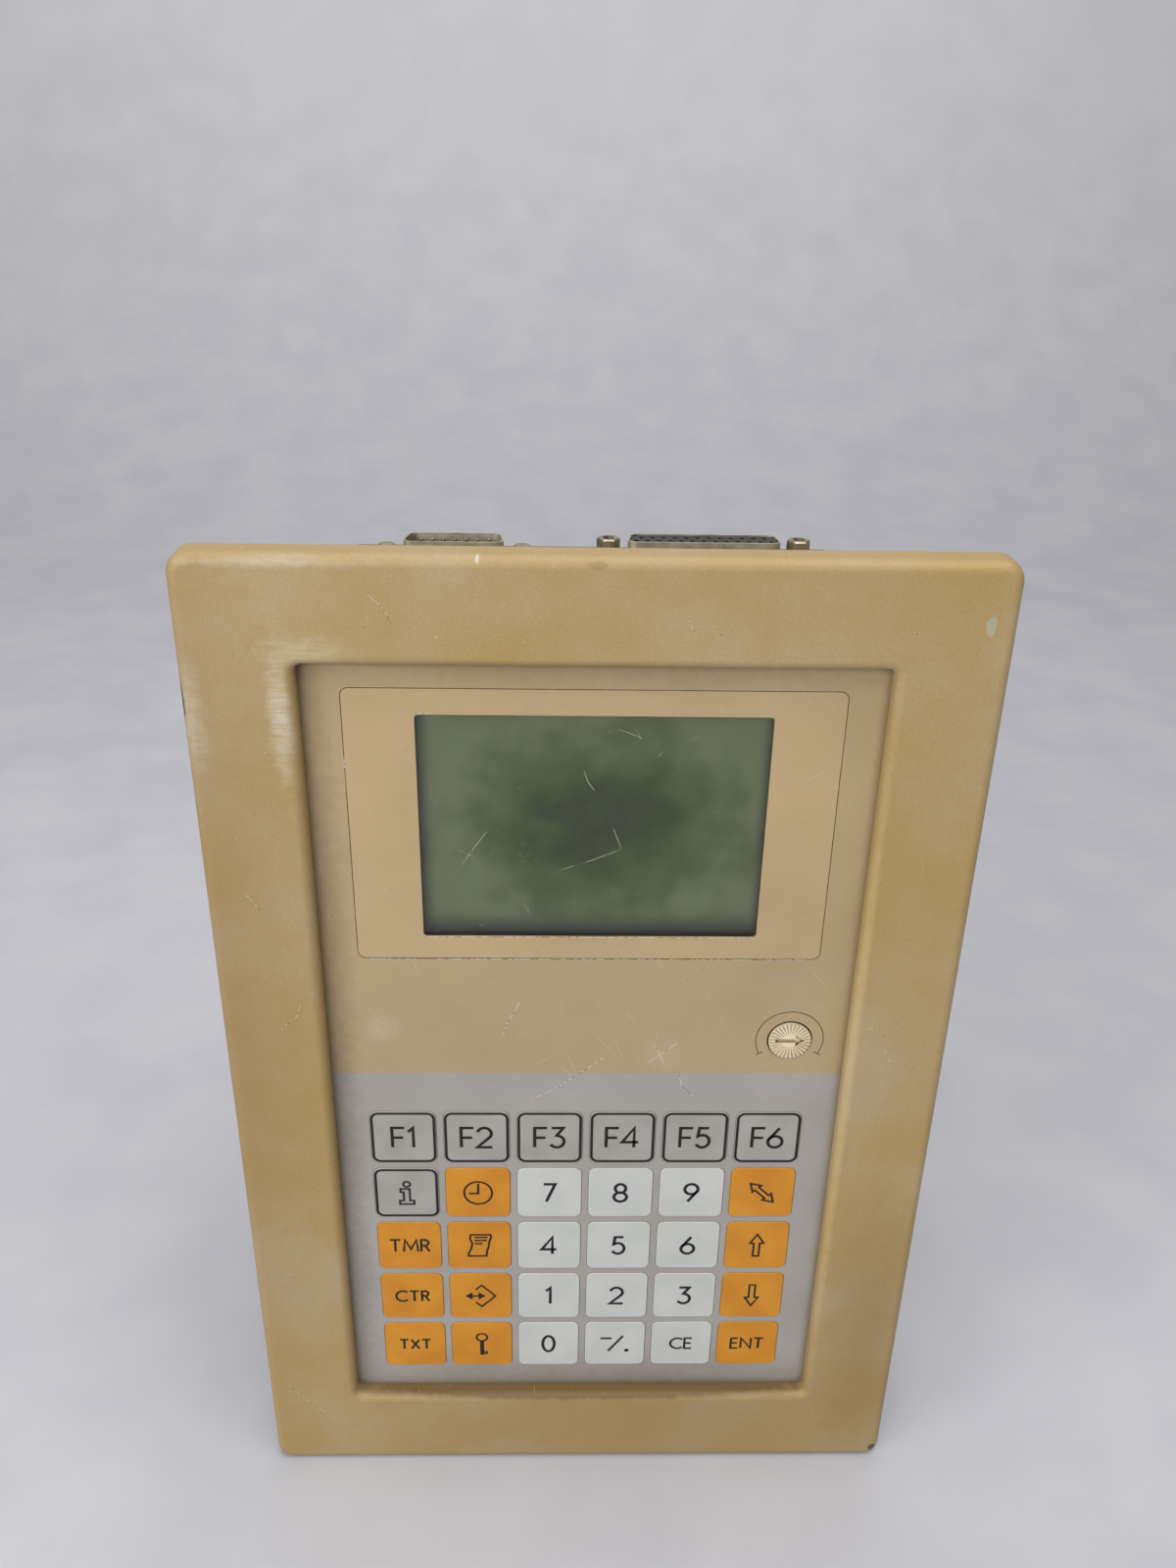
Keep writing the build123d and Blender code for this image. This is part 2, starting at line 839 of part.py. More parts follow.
def lock_post(x):
    """A necked post that a cable plug's slide hooks under."""
    neck_top = connector_seat + post_neck_height
    head = post(post_head_radius, neck_top, neck_top + post_head_height, x, connector_y)
    head = fillet(head.faces().sort_by(Axis.Z)[-1].edges(), post_head_round)
    body = head + post(post_neck_radius, connector_seat, neck_top, x, connector_y)
    return body + post(stem_radius, connector_seat - stem_length, connector_seat, x, connector_y)


def connector_posts():
    posts = [jack_post(data_x + side) for side in spread(2, data_screw_spacing)]
    posts += [lock_post(service_x + side) for side in spread(2, service_screw_spacing)]
    return posts


# Supply terminal: a moulded block that looks out of the housing's bottom wall


def terminal_block(grow):
    """The block's outer shape, grown outwards on the sides that the wall surrounds."""
    bottom = -housing_top - terminal_drop
    top = -housing_top + terminal_rise
    return block(
        terminal_width + 2 * grow, top - bottom, board_front - terminal_depth - grow,
        board_front + grow, terminal_x, (top + bottom) / 2,
    )


def power_terminal():
    bottom = -housing_top - terminal_drop
    screw_z = bottom + terminal_screw_rise
    entry_y = board_front - terminal_screw_depth - terminal_entry / 2
    body = terminal_block(0.0)
    screws = []
    for along in spread(terminal_poles, terminal_pitch):
        x = terminal_x + along
        entry = seen_from_above(bottom - overrun, x, entry_y) * Rectangle(terminal_entry, terminal_entry)
        body -= extrude(entry, amount=terminal_entry_depth + overrun)
        floor = board_front - terminal_screw_depth
        body -= disc(terminal_screw_radius + thread_play, floor, board_front + overrun, x, screw_z)
        screw = disc(terminal_screw_radius, floor, floor + terminal_screw_height, x, screw_z)
        slot_front = floor + terminal_screw_height / 2
        screw -= block(
            2 * terminal_screw_radius + overrun, terminal_screw_slot, slot_front, board_front, x, screw_z
        )
        screws.append(screw)
    return [body] + screws


# Main board with its chips, cans and battery


def main_board():
    body = block(board_width, board_height, board_front, board_back)
    for x, z in board_screw_places():
        body -= disc(screw_radius + hole_play, board_front - overrun, board_back + overrun, x, z)
    return body


def chip(x, z, length, width, upright):
    """A moulded chip in its socket, with the notch that marks its first end."""
    across, along = (width, length) if upright else (length, width)
    front = board_front - chip_height
    body = block(across, along, front, board_front, x, z)
    notch_x, notch_z = (x, z + length / 2) if upright else (x - length / 2, z)
    return body - disc(chip_notch_radius, front - overrun, front + chip_notch_depth, notch_x, notch_z)


def board_chips():
    chips = [chip(processor_x, board_top - processor_drop, processor_length, wide_chip_width, False)]
    for i in range(memory_count):
        x = memory_first_x + i * memory_pitch
        chips.append(chip(x, board_top - memory_drop, memory_length, wide_chip_width, True))
    for row in range(logic_rows):
        for column in range(logic_columns):
            x = logic_first_x + column * logic_column_pitch
            z = board_top - logic_first_drop - row * logic_row_pitch
            chips.append(chip(x, z, logic_length, logic_width, False))
    return chips


def capacitors_and_battery():
    cans = []
    can_z = can_rise - board_top
    for i in range(can_count):
        can = disc(can_radius, board_front - can_height, board_front, can_first_x + i * can_pitch, can_z)
        cans.append(fillet(outer_edges(can, Axis.Y), can_round))
    battery_y = board_front - battery_radius
    battery_z = battery_rise - board_top
    section = Plane(origin=(battery_x, battery_y, battery_z), x_dir=(0, 1, 0), z_dir=(1, 0, 0))
    cell = extrude(section * Circle(battery_radius), amount=battery_length / 2, both=True)
    tip_reach = battery_length + 2 * battery_tip_length
    cell += extrude(section * Circle(battery_tip_radius), amount=tip_reach / 2, both=True)
    cell += block(
        battery_saddle_length, battery_saddle_width, battery_y, board_front, battery_x, battery_z
    )
    return cans + [cell]


# Ribbon cables: a header on each board and the flat cable between them


def header(x, z, front, back):
    return block(header_width, header_height, front, back, x, z)


def ribbon(x, start_y, start_z, end_y, end_z):
    """A flat cable that leaves one header straight and swings over to the other."""
    middle_y = (start_y + end_y) / 2
    path = Bezier((x, start_y, start_z), (x, middle_y, start_z), (x, middle_y, end_z), (x, end_y, end_z))
    section = Plane(origin=(x, start_y, start_z), x_dir=(1, 0, 0), z_dir=(0, 1, 0))
    return sweep(section * Rectangle(ribbon_width, ribbon_thickness), path=path)


def ribbon_cables():
    keypad_start = keypad_top + pad_strip / 2
    keypad_end = board_top - keypad_ribbon_drop
    lcd_start = display_z - lcd_board_height / 2 + header_height
    lcd_end = board_top - lcd_ribbon_drop
    pieces = []
    for x, first_back, start_z, end_z in (
        (keypad_ribbon_x, keypad_board_back, keypad_start, keypad_end),
        (lcd_ribbon_x, lcd_board_back, lcd_start, lcd_end),
    ):
        start_y = first_back + header_depth
        end_y = board_front - header_depth
        pieces.append(header(x, start_z, first_back, start_y))
        pieces.append(header(x, end_z, end_y, board_front))
        pieces.append(ribbon(x, start_y, start_z, end_y, end_z))
    return pieces


# Screws


def screw(x, z, seat, shank, towards):
    """A pan head screw; its head sits at a depth and its shank points to +1, the back, or -1."""
    crown = seat - towards * screw_head_height
    head = disc(screw_head_radius, seat, crown, x, z)
    crown_faces = head.faces().sort_by(Axis.Y)
    crown_face = crown_faces[0] if towards > 0 else crown_faces[-1]
    head = fillet(crown_face.edges(), screw_head_round)
    for width, height in (
        (screw_cross_length, screw_cross_width),
        (screw_cross_width, screw_cross_length),
    ):
        head -= block(width, height, crown - towards * overrun, crown + towards * screw_cross_depth, x, z)
    return head + disc(screw_radius, seat, seat + towards * shank, x, z)


def short_screws():
    """The cover's, the main board's and the display board's screws."""
    screws = [screw(x, z, cover_back, short_shank, -1) for x, z in cover_screw_places()]
    screws += [screw(x, z, board_front, short_shank, 1) for x, z in board_screw_places()]
    screws += [screw(x, z, lcd_board_back, short_shank, -1) for x, z in lcd_screw_places()]
    return screws


def long_screws():
    """These clamp housing, carrier plate and foil to the frame."""
    seat = seat_y + sheet
    return [screw(x, z, seat, seat - long_screw_tip, -1) for x, z in long_screw_places()]


parts = {
    "front_frame": front_frame(),
    "panel_gasket": panel_gasket(),
    "mounting_studs": mounting_studs(),
    "carrier_plate": carrier_plate(),
    "front_foil": front_foil(),
    "display_insert": display_insert(),
    "display_window": display_window(),
    "contrast_knob": contrast_knob(),
    "contrast_potentiometer": contrast_potentiometer(),
    "snap_domes": snap_domes(),
    "keypad_board": keypad_board(),
    "lcd_bezel": lcd_bezel(),
    "lcd_glass": lcd_glass(),
    "lcd_backlight": lcd_backlight(),
    "lcd_board": lcd_board(),
    "main_board": main_board(),
    "board_chips": board_chips(),
    "capacitors_and_battery": capacitors_and_battery(),
    "ribbon_cables": ribbon_cables(),
    "screws": short_screws() + long_screws(),
    "housing_sides": housing_sides(),
    "housing_ends": housing_ends(),
    "rear_cover": rear_cover(),
    "data_socket_shell": data_socket_shell(),
    "data_socket_insert": data_socket_insert(),
    "service_plug_shell": service_plug_shell(),
    "service_plug_insert": service_plug_insert(),
    "service_plug_pins": service_plug_pins(),
    "connector_posts": connector_posts(),
    "power_terminal": power_terminal(),
}
for name, x, z in key_places():
    parts[name] = key(x, z)

os.makedirs("parts", exist_ok=True)
for name, shape in parts.items():
    solid = Compound(children=shape) if isinstance(shape, list) else shape
    export_step(solid, f"parts/{name}.step")
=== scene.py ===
import math
import random

import bmesh
import bpy
from mathutils import Matrix, Vector


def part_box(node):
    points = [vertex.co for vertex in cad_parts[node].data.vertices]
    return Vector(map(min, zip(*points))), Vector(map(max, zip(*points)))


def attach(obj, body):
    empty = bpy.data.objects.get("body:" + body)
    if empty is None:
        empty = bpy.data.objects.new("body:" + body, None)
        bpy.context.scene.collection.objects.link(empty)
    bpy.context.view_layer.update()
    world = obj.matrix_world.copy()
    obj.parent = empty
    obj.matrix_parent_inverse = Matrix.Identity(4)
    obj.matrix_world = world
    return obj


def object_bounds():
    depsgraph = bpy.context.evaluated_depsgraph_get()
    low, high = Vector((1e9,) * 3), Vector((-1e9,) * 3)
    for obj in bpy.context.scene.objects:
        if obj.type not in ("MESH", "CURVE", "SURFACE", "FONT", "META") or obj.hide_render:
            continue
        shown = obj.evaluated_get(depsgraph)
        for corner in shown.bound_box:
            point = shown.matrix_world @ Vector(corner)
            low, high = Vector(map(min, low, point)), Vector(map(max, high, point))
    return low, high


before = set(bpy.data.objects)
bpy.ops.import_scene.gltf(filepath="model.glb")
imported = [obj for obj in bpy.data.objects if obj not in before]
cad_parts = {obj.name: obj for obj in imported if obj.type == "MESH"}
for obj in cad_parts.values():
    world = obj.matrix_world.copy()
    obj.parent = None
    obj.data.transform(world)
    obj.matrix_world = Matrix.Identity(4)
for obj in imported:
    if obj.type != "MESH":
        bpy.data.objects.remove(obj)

# Camera: held above the panel and close to it, as for the photograph. Its place, its axes and
# its focal length, in pixels of the photograph, were solved from the panel's outlines there.
photo_height, focal_length = 1600, 1326.85
sensor_height = 24.0
camera_place = (-0.00898, -0.28081, 0.22497)
right = Vector((0.99967, -0.01891, 0.0174))
up = Vector((-0.00726, 0.44179, 0.89709))
back = Vector((-0.02465, -0.89692, 0.44151))
camera_data = bpy.data.cameras.new("camera")
camera_data.sensor_fit = "VERTICAL"
camera_data.sensor_height = sensor_height
camera_data.lens = sensor_height * focal_length / photo_height
camera_data.clip_start = 0.01
camera = bpy.data.objects.new("camera", camera_data)
bpy.context.collection.objects.link(camera)
turn = Matrix((right, up, back)).transposed()
camera.matrix_world = Matrix.Translation(camera_place) @ turn.to_4x4()
bpy.context.scene.camera = camera
bpy.context.scene.view_settings.view_transform = "Standard"

# Light: a lamp as wide as a window at the left in front, whose shadow in the sunk field fades
# out over 12 mm, a broad one overhead, one for the background, and an even grey surrounding.


def linear(code):
    """An sRGB colour such as AD925F as linear RGBA."""
    parts = [int(code[i:i + 2], 16) / 255 for i in (0, 2, 4)]
    return [c / 12.92 if c <= 0.04045 else ((c + 0.055) / 1.055) ** 2.4 for c in parts] + [1.0]


def fill(tree, node, inputs):
    """Gives a node's sockets a value each, or a link from another node's socket."""
    for socket, value in dict(inputs).items():
        if isinstance(value, bpy.types.NodeSocket):
            tree.links.new(value, node.inputs[socket])
        else:
            node.inputs[socket].default_value = value


for name, place, aim, width, height, power in (
    ("key_light", (-0.8, -0.96, 0.58), (0.0, 0.0, 0.0), 1.4, 0.4, 13.5),
    ("top_light", (0.3, -0.45, 1.2), (0.0, 0.0, 0.0), 0.9, 0.9, 9.2),
    ("back_light", (0.0, 0.3, 1.5), (0.0, 1.5, 0.5), 1.0, 1.0, 10.5),
):
    lamp_data = bpy.data.lights.new(name, "AREA")
    lamp_data.shape = "RECTANGLE"
    lamp_data.size = width
    lamp_data.size_y = height
    lamp_data.energy = power
    lamp = bpy.data.objects.new(name, lamp_data)
    lamp.location = place
    lamp.rotation_euler = (Vector(aim) - Vector(place)).to_track_quat("-Z", "Y").to_euler()
    bpy.context.collection.objects.link(lamp)
world = bpy.data.worlds.new("surrounding")
world.use_nodes = True
fill(world.node_tree, world.node_tree.nodes["Background"], {
    "Color": linear("F1F2F4"), "Strength": 0.19,
})
bpy.context.scene.world = world

# Floor: a plain pale sheet of matt paper under the frame's bottom edge. It is flat, bends up far
# behind the panel, and gets paler towards its top, as the photograph's background does.
cad_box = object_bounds()
mm, per_mm = 0.001, 1000.0


def add(tree, kind, inputs=(), stops=(), **settings):
    """Adds a node with its settings, its values or links by socket, and a colour ramp's stops."""
    made = tree.nodes.new("ShaderNode" + kind)
    for name, value in settings.items():
        setattr(made, name, value)
    fill(tree, made, inputs)
    for i, (position, colour) in enumerate(stops):
        elements = made.color_ramp.elements
        element = elements[i] if i < len(elements) else elements.new(position)
        element.position = position
        element.color = linear(colour)
    return made


def surface(name, inputs):
    """A new material: its tree, its shader, and the model's own coordinates in metres."""
    made = bpy.data.materials.new(name)
    made.use_nodes = True
    tree = made.node_tree
    shader = tree.nodes["Principled BSDF"]
    fill(tree, shader, inputs)
    return made, tree, shader, add(tree, "TexCoord").outputs["Object"]


half_width, front_edge, top_edge = 2.0, -1.5, 2.2
bend_start, bend_radius, bend_steps = 0.9, 0.6, 12
profile = [(front_edge, 0.0), (bend_start, 0.0)]
for i in range(1, bend_steps + 1):
    angle = math.pi / 2 * i / bend_steps
    profile.append((
        bend_start + bend_radius * math.sin(angle), bend_radius - bend_radius * math.cos(angle),
    ))
profile.append((bend_start + bend_radius, top_edge))
verts = [(x, y, z + cad_box[0][2]) for y, z in profile for x in (-half_width, half_width)]
faces = [(2 * i, 2 * i + 1, 2 * i + 3, 2 * i + 2) for i in range(len(profile) - 1)]
floor_mesh = bpy.data.meshes.new("floor")
floor_mesh.from_pydata(verts, [], faces)
for face in floor_mesh.polygons:
    face.use_smooth = True
floor = bpy.data.objects.new("floor", floor_mesh)
bpy.context.collection.objects.link(floor)
cloud_size = 50.0
paper, tree, shader, place = surface("pale_paper", {"Roughness": 0.85})
cloud = add(tree, "TexNoise", {"Vector": place, "Scale": per_mm / cloud_size, "Detail": 3.0})
tone = add(
    tree, "ValToRGB", {"Fac": cloud.outputs["Fac"]}, [(0.35, "BEBEC4"), (0.65, "C5C5CA")]
)
level = add(tree, "SeparateXYZ", {"Vector": place})
# Painted light: the paper's colour is made paler towards its top.
rise = add(tree, "MapRange", {
    "Value": level.outputs["Z"], "From Min": -0.1, "From Max": 1.2, "To Max": 0.8,
})
colour = add(tree, "MixRGB", {
    "Fac": rise.outputs["Result"], "Color1": tone.outputs["Color"], "Color2": linear("FBFBFC"),
})
fill(tree, shader, {"Base Color": colour.outputs["Color"]})
floor_mesh.materials.append(paper)

# Front frame: cast aluminium in a thick golden tan enamel with a fine orange peel. The enamel
# looks half matt from years of wiping. It is rubbed through at the upper left and chipped at its
# edges. Dirt and painted shade darken the corners and the lower wall of the sunk field, painted
# shade darkens the bottom, the lower right and the left, and a painted highlight lightens the
# sunk field's right wall.


def dress(material, *names):
    """Puts a material in the slots of CAD nodes."""
    for name in names:
        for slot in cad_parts[name].material_slots:
            slot.material = material


def from_centre(tree, place, centre, reach, fuzz, grain):
    """The distance from a point as a share of an ellipsoid's reach, ragged by noise; in mm."""
    noise = add(tree, "TexNoise", {"Vector": place, "Scale": per_mm / grain, "Detail": 5.0})
    shift = add(
        tree, "VectorMath", {0: noise.outputs["Color"], 1: (0.5, 0.5, 0.5)}, operation="SUBTRACT"
    )
    rough = add(tree, "VectorMath", {0: shift.outputs[0], "Scale": fuzz}, operation="SCALE")
    away = add(
        tree, "VectorMath", {0: place, 1: [c * mm for c in centre]}, operation="SUBTRACT"
    )
    size = add(
        tree, "VectorMath", {0: away.outputs[0], 1: [r * mm for r in reach]}, operation="DIVIDE"
    )
    both = add(tree, "VectorMath", {0: size.outputs[0], 1: rough.outputs[0]}, operation="ADD")
    return add(tree, "VectorMath", {0: both.outputs[0]}, operation="LENGTH").outputs["Value"]


def near(tree, place, centre, reach, fuzz, core):
    """1 inside an ellipsoid about a point, falling to 0 from a share of its reach to its edge."""
    share = from_centre(tree, place, centre, reach, fuzz, grain=3.0)
    mask = add(tree, "MapRange", {"Value": share, "From Min": 1.0, "From Max": core})
    return mask.outputs["Result"]


def streaks(tree, place, angle, width, length, share):
    """Fine scratches at an angle in the X-Z plane: their width and length in mm, their share."""
    turned = add(tree, "Mapping", {
        "Vector": place, "Rotation": (0.0, angle, 0.0),
        "Scale": (length * mm, length * mm, width * mm),
    }, vector_type="TEXTURE")
    noise = add(tree, "TexNoise", {"Vector": turned.outputs[0], "Scale": 1.0, "Detail": 2.0})
    mask = add(tree, "MapRange", {
        "Value": noise.outputs["Fac"], "From Min": 1.0 - share, "From Max": 1.02 - share,
    })
    return mask.outputs["Result"]


patch_size, speckle_size, peel_size = 45.5, 0.625, 0.91
paint, tree, shader, place = surface("tan_enamel_on_cast_aluminium", {"IOR": 1.5})
patches = add(tree, "TexNoise", {
    "Vector": place, "Scale": per_mm / patch_size, "Detail": 6.0, "Roughness": 0.6,
})
tone = add(
    tree, "ValToRGB", {"Fac": patches.outputs["Fac"]},
    [(0.32, "A88C4F"), (0.5, "AC9262"), (0.66, "B09A75")],
)
speckle = add(tree, "TexNoise", {"Vector": place, "Scale": per_mm / speckle_size, "Detail": 3.0})
speckle_tone = add(
    tree, "ValToRGB", {"Fac": speckle.outputs["Fac"]},
    [(0.3, "A5A5A5"), (0.5, "BCBCBC"), (0.72, "D6D6D6")],
)
colour = add(tree, "MixRGB", {
    "Fac": 0.2, "Color1": tone.outputs["Color"], "Color2": speckle_tone.outputs["Color"],
}, blend_type="OVERLAY")
# Darker in the corners of the sunk field from ambient occlusion: dirt and painted shade.
corners = add(tree, "AmbientOcclusion", {"Distance": 2.5 * mm}, samples=8)
corner_grime_and_shade = add(tree, "MapRange", {
    "Value": corners.outputs["AO"], "From Min": 0.68, "From Max": 0.4, "To Max": 0.8,
})
colour = add(tree, "MixRGB", {
    "Fac": corner_grime_and_shade.outputs["Result"], "Color1": colour.outputs["Color"], "Color2": linear("5A4526"),
})
# Each mark has a centre and a reach in millimetres, how ragged it is, how its edge fades, its
# colour and strength, and whether it is rubbed down in lines.
soft, crisp = 0.2, 0.75
for centre, reach, fuzz, edge, code, strength, rubbed in (
    # pale primer beside and above the sunk field's upper left corner, and at the outer edge
    ((-71.8, -8.0, 106.5), (3.4, 6.0, 18.0), 1.0, soft, "D3CCB8", 0.7, True),
    ((-66.0, -8.0, 122.5), (14.0, 6.0, 4.5), 1.2, soft, "CFC6AA", 0.4, True),
    ((-91.5, -7.0, 106.0), (3.6, 4.0, 17.0), 1.1, soft, "CFC8B6", 0.55, True),
    # a black knock at the left edge, the worn top edge, and a white and a brown mark on it
    ((-93.8, -6.0, 110.0), (0.9, 4.0, 5.5), 0.9, crisp, "2B2620", 0.85, False),
    ((-70.0, -8.0, 143.2), (26.0, 4.0, 2.0), 1.2, soft, "C9C1AC", 0.35, True),
    ((-26.3, -8.0, 144.3), (0.6, 3.0, 1.1), 1.6, crisp, "D9D6CC", 0.5, False),
    ((-0.3, -7.5, 143.1), (2.4, 3.0, 1.0), 1.3, crisp, "7A5A28", 0.3, False),
    # painted shade, darker along the bottom and the lower right
    ((20.0, -8.0, -128.0), (110.0, 9.0, 34.0), 0.3, soft, "86693A", 0.3, False),
    ((84.0, -8.0, -90.0), (18.0, 9.0, 66.0), 0.3, soft, "7E6232", 0.4, False),
    # a grey green stain at the upper right and a bruise at the lower right corner
    ((87.6, -8.0, 130.2), (1.3, 2.0, 2.6), 0.9, crisp, "ABAC92", 0.75, False),
    ((91.7, -7.0, -141.0), (1.3, 4.0, 2.0), 1.1, crisp, "3A3226", 0.85, False),
    # lower wall: dust and painted shade; right wall: painted highlight; left edge: painted shade
    ((0.0, -4.0, -117.4), (80.0, 5.0, 3.0), 0.3, crisp, "6E5630", 0.85, False),
    ((69.0, -5.5, 2.0), (2.4, 4.0, 130.0), 0.4, soft, "D8C189", 0.5, False),
    ((-94.0, -8.0, 20.0), (30.0, 9.0, 170.0), 0.3, soft, "7E6232", 0.3, False),
):
    mask = near(tree, place, centre, reach, fuzz, core=edge)
    if rubbed:
        lines = streaks(tree, place, angle=0.03, width=0.5, length=8.0, share=0.54)
        lines = add(tree, "Math", {0: lines, 1: 0.4, 2: 0.6}, operation="MULTIPLY_ADD").outputs[0]
        mask = add(tree, "Math", {0: mask, 1: lines}, operation="MULTIPLY").outputs[0]
    mask = add(tree, "Math", {0: mask, 1: strength}, operation="MULTIPLY").outputs[0]
    colour = add(tree, "MixRGB", {
        "Fac": mask, "Color1": colour.outputs["Color"], "Color2": linear(code),
    })
for angle, code in ((0.5, "C9BD9A"), (-0.9, "6E5630"), (1.35, "C9BD9A")):
    mask = streaks(tree, place, angle, width=0.35, length=9.0, share=0.26)
    mask = add(tree, "Math", {0: mask, 1: 0.35}, operation="MULTIPLY").outputs[0]
    colour = add(tree, "MixRGB", {
        "Fac": mask, "Color1": colour.outputs["Color"], "Color2": linear(code),
    })
polish = add(tree, "MapRange", {"Value": patches.outputs["Fac"], "To Min": 0.42, "To Max": 0.62})
peel = add(tree, "TexNoise", {"Vector": place, "Scale": per_mm / peel_size, "Detail": 2.0})
relief = add(tree, "Bump", {
    "Height": peel.outputs["Fac"], "Distance": 0.12 * mm, "Strength": 0.3,
})
fill(tree, shader, {
    "Base Color": colour.outputs["Color"], "Roughness": polish.outputs["Result"],
    "Normal": relief.outputs["Normal"],
})
dress(paint, "front_frame")

# Front foil and display insert: fine grained polyester, printed from behind and glued on. The
# foil is tan above the keypad and grey round the keys, the insert a shade pinker. Both look
# satin, with a pale haze and scratches, and painted shade, with some dirt, along the walls of
# the sunk field.
colour_edge, edge_blur = 2.0, 0.1
cloud_size, grain_size = 33.3, 0.333
for name, node, upper, lower in (
    ("printed_polyester_foil", "front_foil", "AF9972", "A29D97"),
    ("printed_polyester_insert", "display_insert", "B89F76", "B89F76"),
):
    foil, tree, shader, place = surface(name, {"IOR": 1.57})
    height = add(tree, "SeparateXYZ", {"Vector": place})
    zone = add(tree, "MapRange", {
        "Value": height.outputs["Z"],
        "From Min": (colour_edge - edge_blur) * mm, "From Max": (colour_edge + edge_blur) * mm,
    })
    colour = add(tree, "MixRGB", {
        "Fac": zone.outputs["Result"], "Color1": linear(lower), "Color2": linear(upper),
    })
    cloud = add(tree, "TexNoise", {"Vector": place, "Scale": per_mm / cloud_size, "Detail": 5.0})
    haze = add(
        tree, "ValToRGB", {"Fac": cloud.outputs["Fac"]},
        [(0.3, "B0AEAA"), (0.5, "BCBCBC"), (0.7, "C6C6C6")],
    )
    colour = add(tree, "MixRGB", {
        "Fac": 0.5, "Color1": colour.outputs["Color"], "Color2": haze.outputs["Color"],
    }, blend_type="OVERLAY")
    for centre, reach, code, strength in (
        # a rubbed spot, then the shade of the left and the right wall
        ((-54.0, -3.0, 16.3), (6.0, 4.0, 6.0), "D8D2C6", 0.15),
        ((-70.5, -3.0, 0.0), (11.0, 9.0, 190.0), "54432C", 0.5),
        ((70.0, -3.0, 0.0), (5.0, 9.0, 190.0), "54432C", 0.14),
        # another rubbed spot, then painted shade along the lower and the upper wall
        ((19.5, -3.0, 8.5), (8.0, 4.0, 8.0), "D8D2C6", 0.1),
        ((0.0, -3.0, -122.0), (110.0, 9.0, 22.0), "6A5844", 0.42),
        ((0.0, -3.0, 123.0), (110.0, 9.0, 12.0), "7C6540", 0.4),
    ):
        spot = near(tree, place, centre, reach, fuzz=0.6, core=soft)
        spot = add(tree, "Math", {0: spot, 1: strength}, operation="MULTIPLY").outputs[0]
        colour = add(tree, "MixRGB", {
            "Fac": spot, "Color1": colour.outputs["Color"], "Color2": linear(code),
        })
    for angle, share in ((0.85, 0.26), (-0.5, 0.25), (1.25, 0.25)):
        mask = streaks(tree, place, angle, width=0.3, length=14.0, share=share)
        mask = add(tree, "Math", {0: mask, 1: 0.45}, operation="MULTIPLY").outputs[0]
        colour = add(tree, "MixRGB", {
            "Fac": mask, "Color1": colour.outputs["Color"], "Color2": linear("DAD4C6"),
        })
    # Darker near the walls from ambient occlusion: dirt and painted shade.
    walls = add(tree, "AmbientOcclusion", {"Distance": 3 * mm}, samples=8)
    dirt_and_shade = add(tree, "MapRange", {
        "Value": walls.outputs["AO"], "From Min": 0.85, "From Max": 0.5, "To Max": 0.6,
    })
    colour = add(tree, "MixRGB", {
        "Fac": dirt_and_shade.outputs["Result"], "Color1": colour.outputs["Color"],
        "Color2": linear("6E5C3C"),
    })
    grain = add(tree, "TexNoise", {"Vector": place, "Scale": per_mm / grain_size, "Detail": 2.0})
    relief = add(tree, "Bump", {
        "Height": grain.outputs["Fac"], "Distance": 0.03 * mm, "Strength": 0.5,
    })
    polish = add(tree, "MapRange", {"Value": cloud.outputs["Fac"], "To Min": 0.38, "To Max": 0.55})
    fill(tree, shader, {
        "Base Color": colour.outputs["Color"], "Roughness": polish.outputs["Result"],
        "Normal": relief.outputs["Normal"],
    })
    dress(foil, node)

# Display window: a clear cast acrylic pane behind the insert's opening. Its coat halves the
# reflections, and its front looks hazy where it was wiped.
smear_size, grain_size = 16.7, 0.4
pane, tree, shader, place = surface("scratched_acrylic", {
    "Base Color": linear("ECEEE2"), "Transmission Weight": 1.0, "IOR": 1.49,
    "Specular IOR Level": 0.25,
})
smear = add(tree, "TexNoise", {"Vector": place, "Scale": per_mm / smear_size, "Detail": 6.0})
polish = add(tree, "MapRange", {"Value": smear.outputs["Fac"], "To Min": 0.12, "To Max": 0.34})
grain = add(tree, "TexNoise", {"Vector": place, "Scale": per_mm / grain_size, "Detail": 2.0})
relief = add(tree, "Bump", {
    "Height": grain.outputs["Fac"], "Distance": 0.003 * mm, "Strength": 0.2,
})
fill(tree, shader, {"Roughness": polish.outputs["Result"], "Normal": relief.outputs["Normal"]})
dress(pane, "display_window")

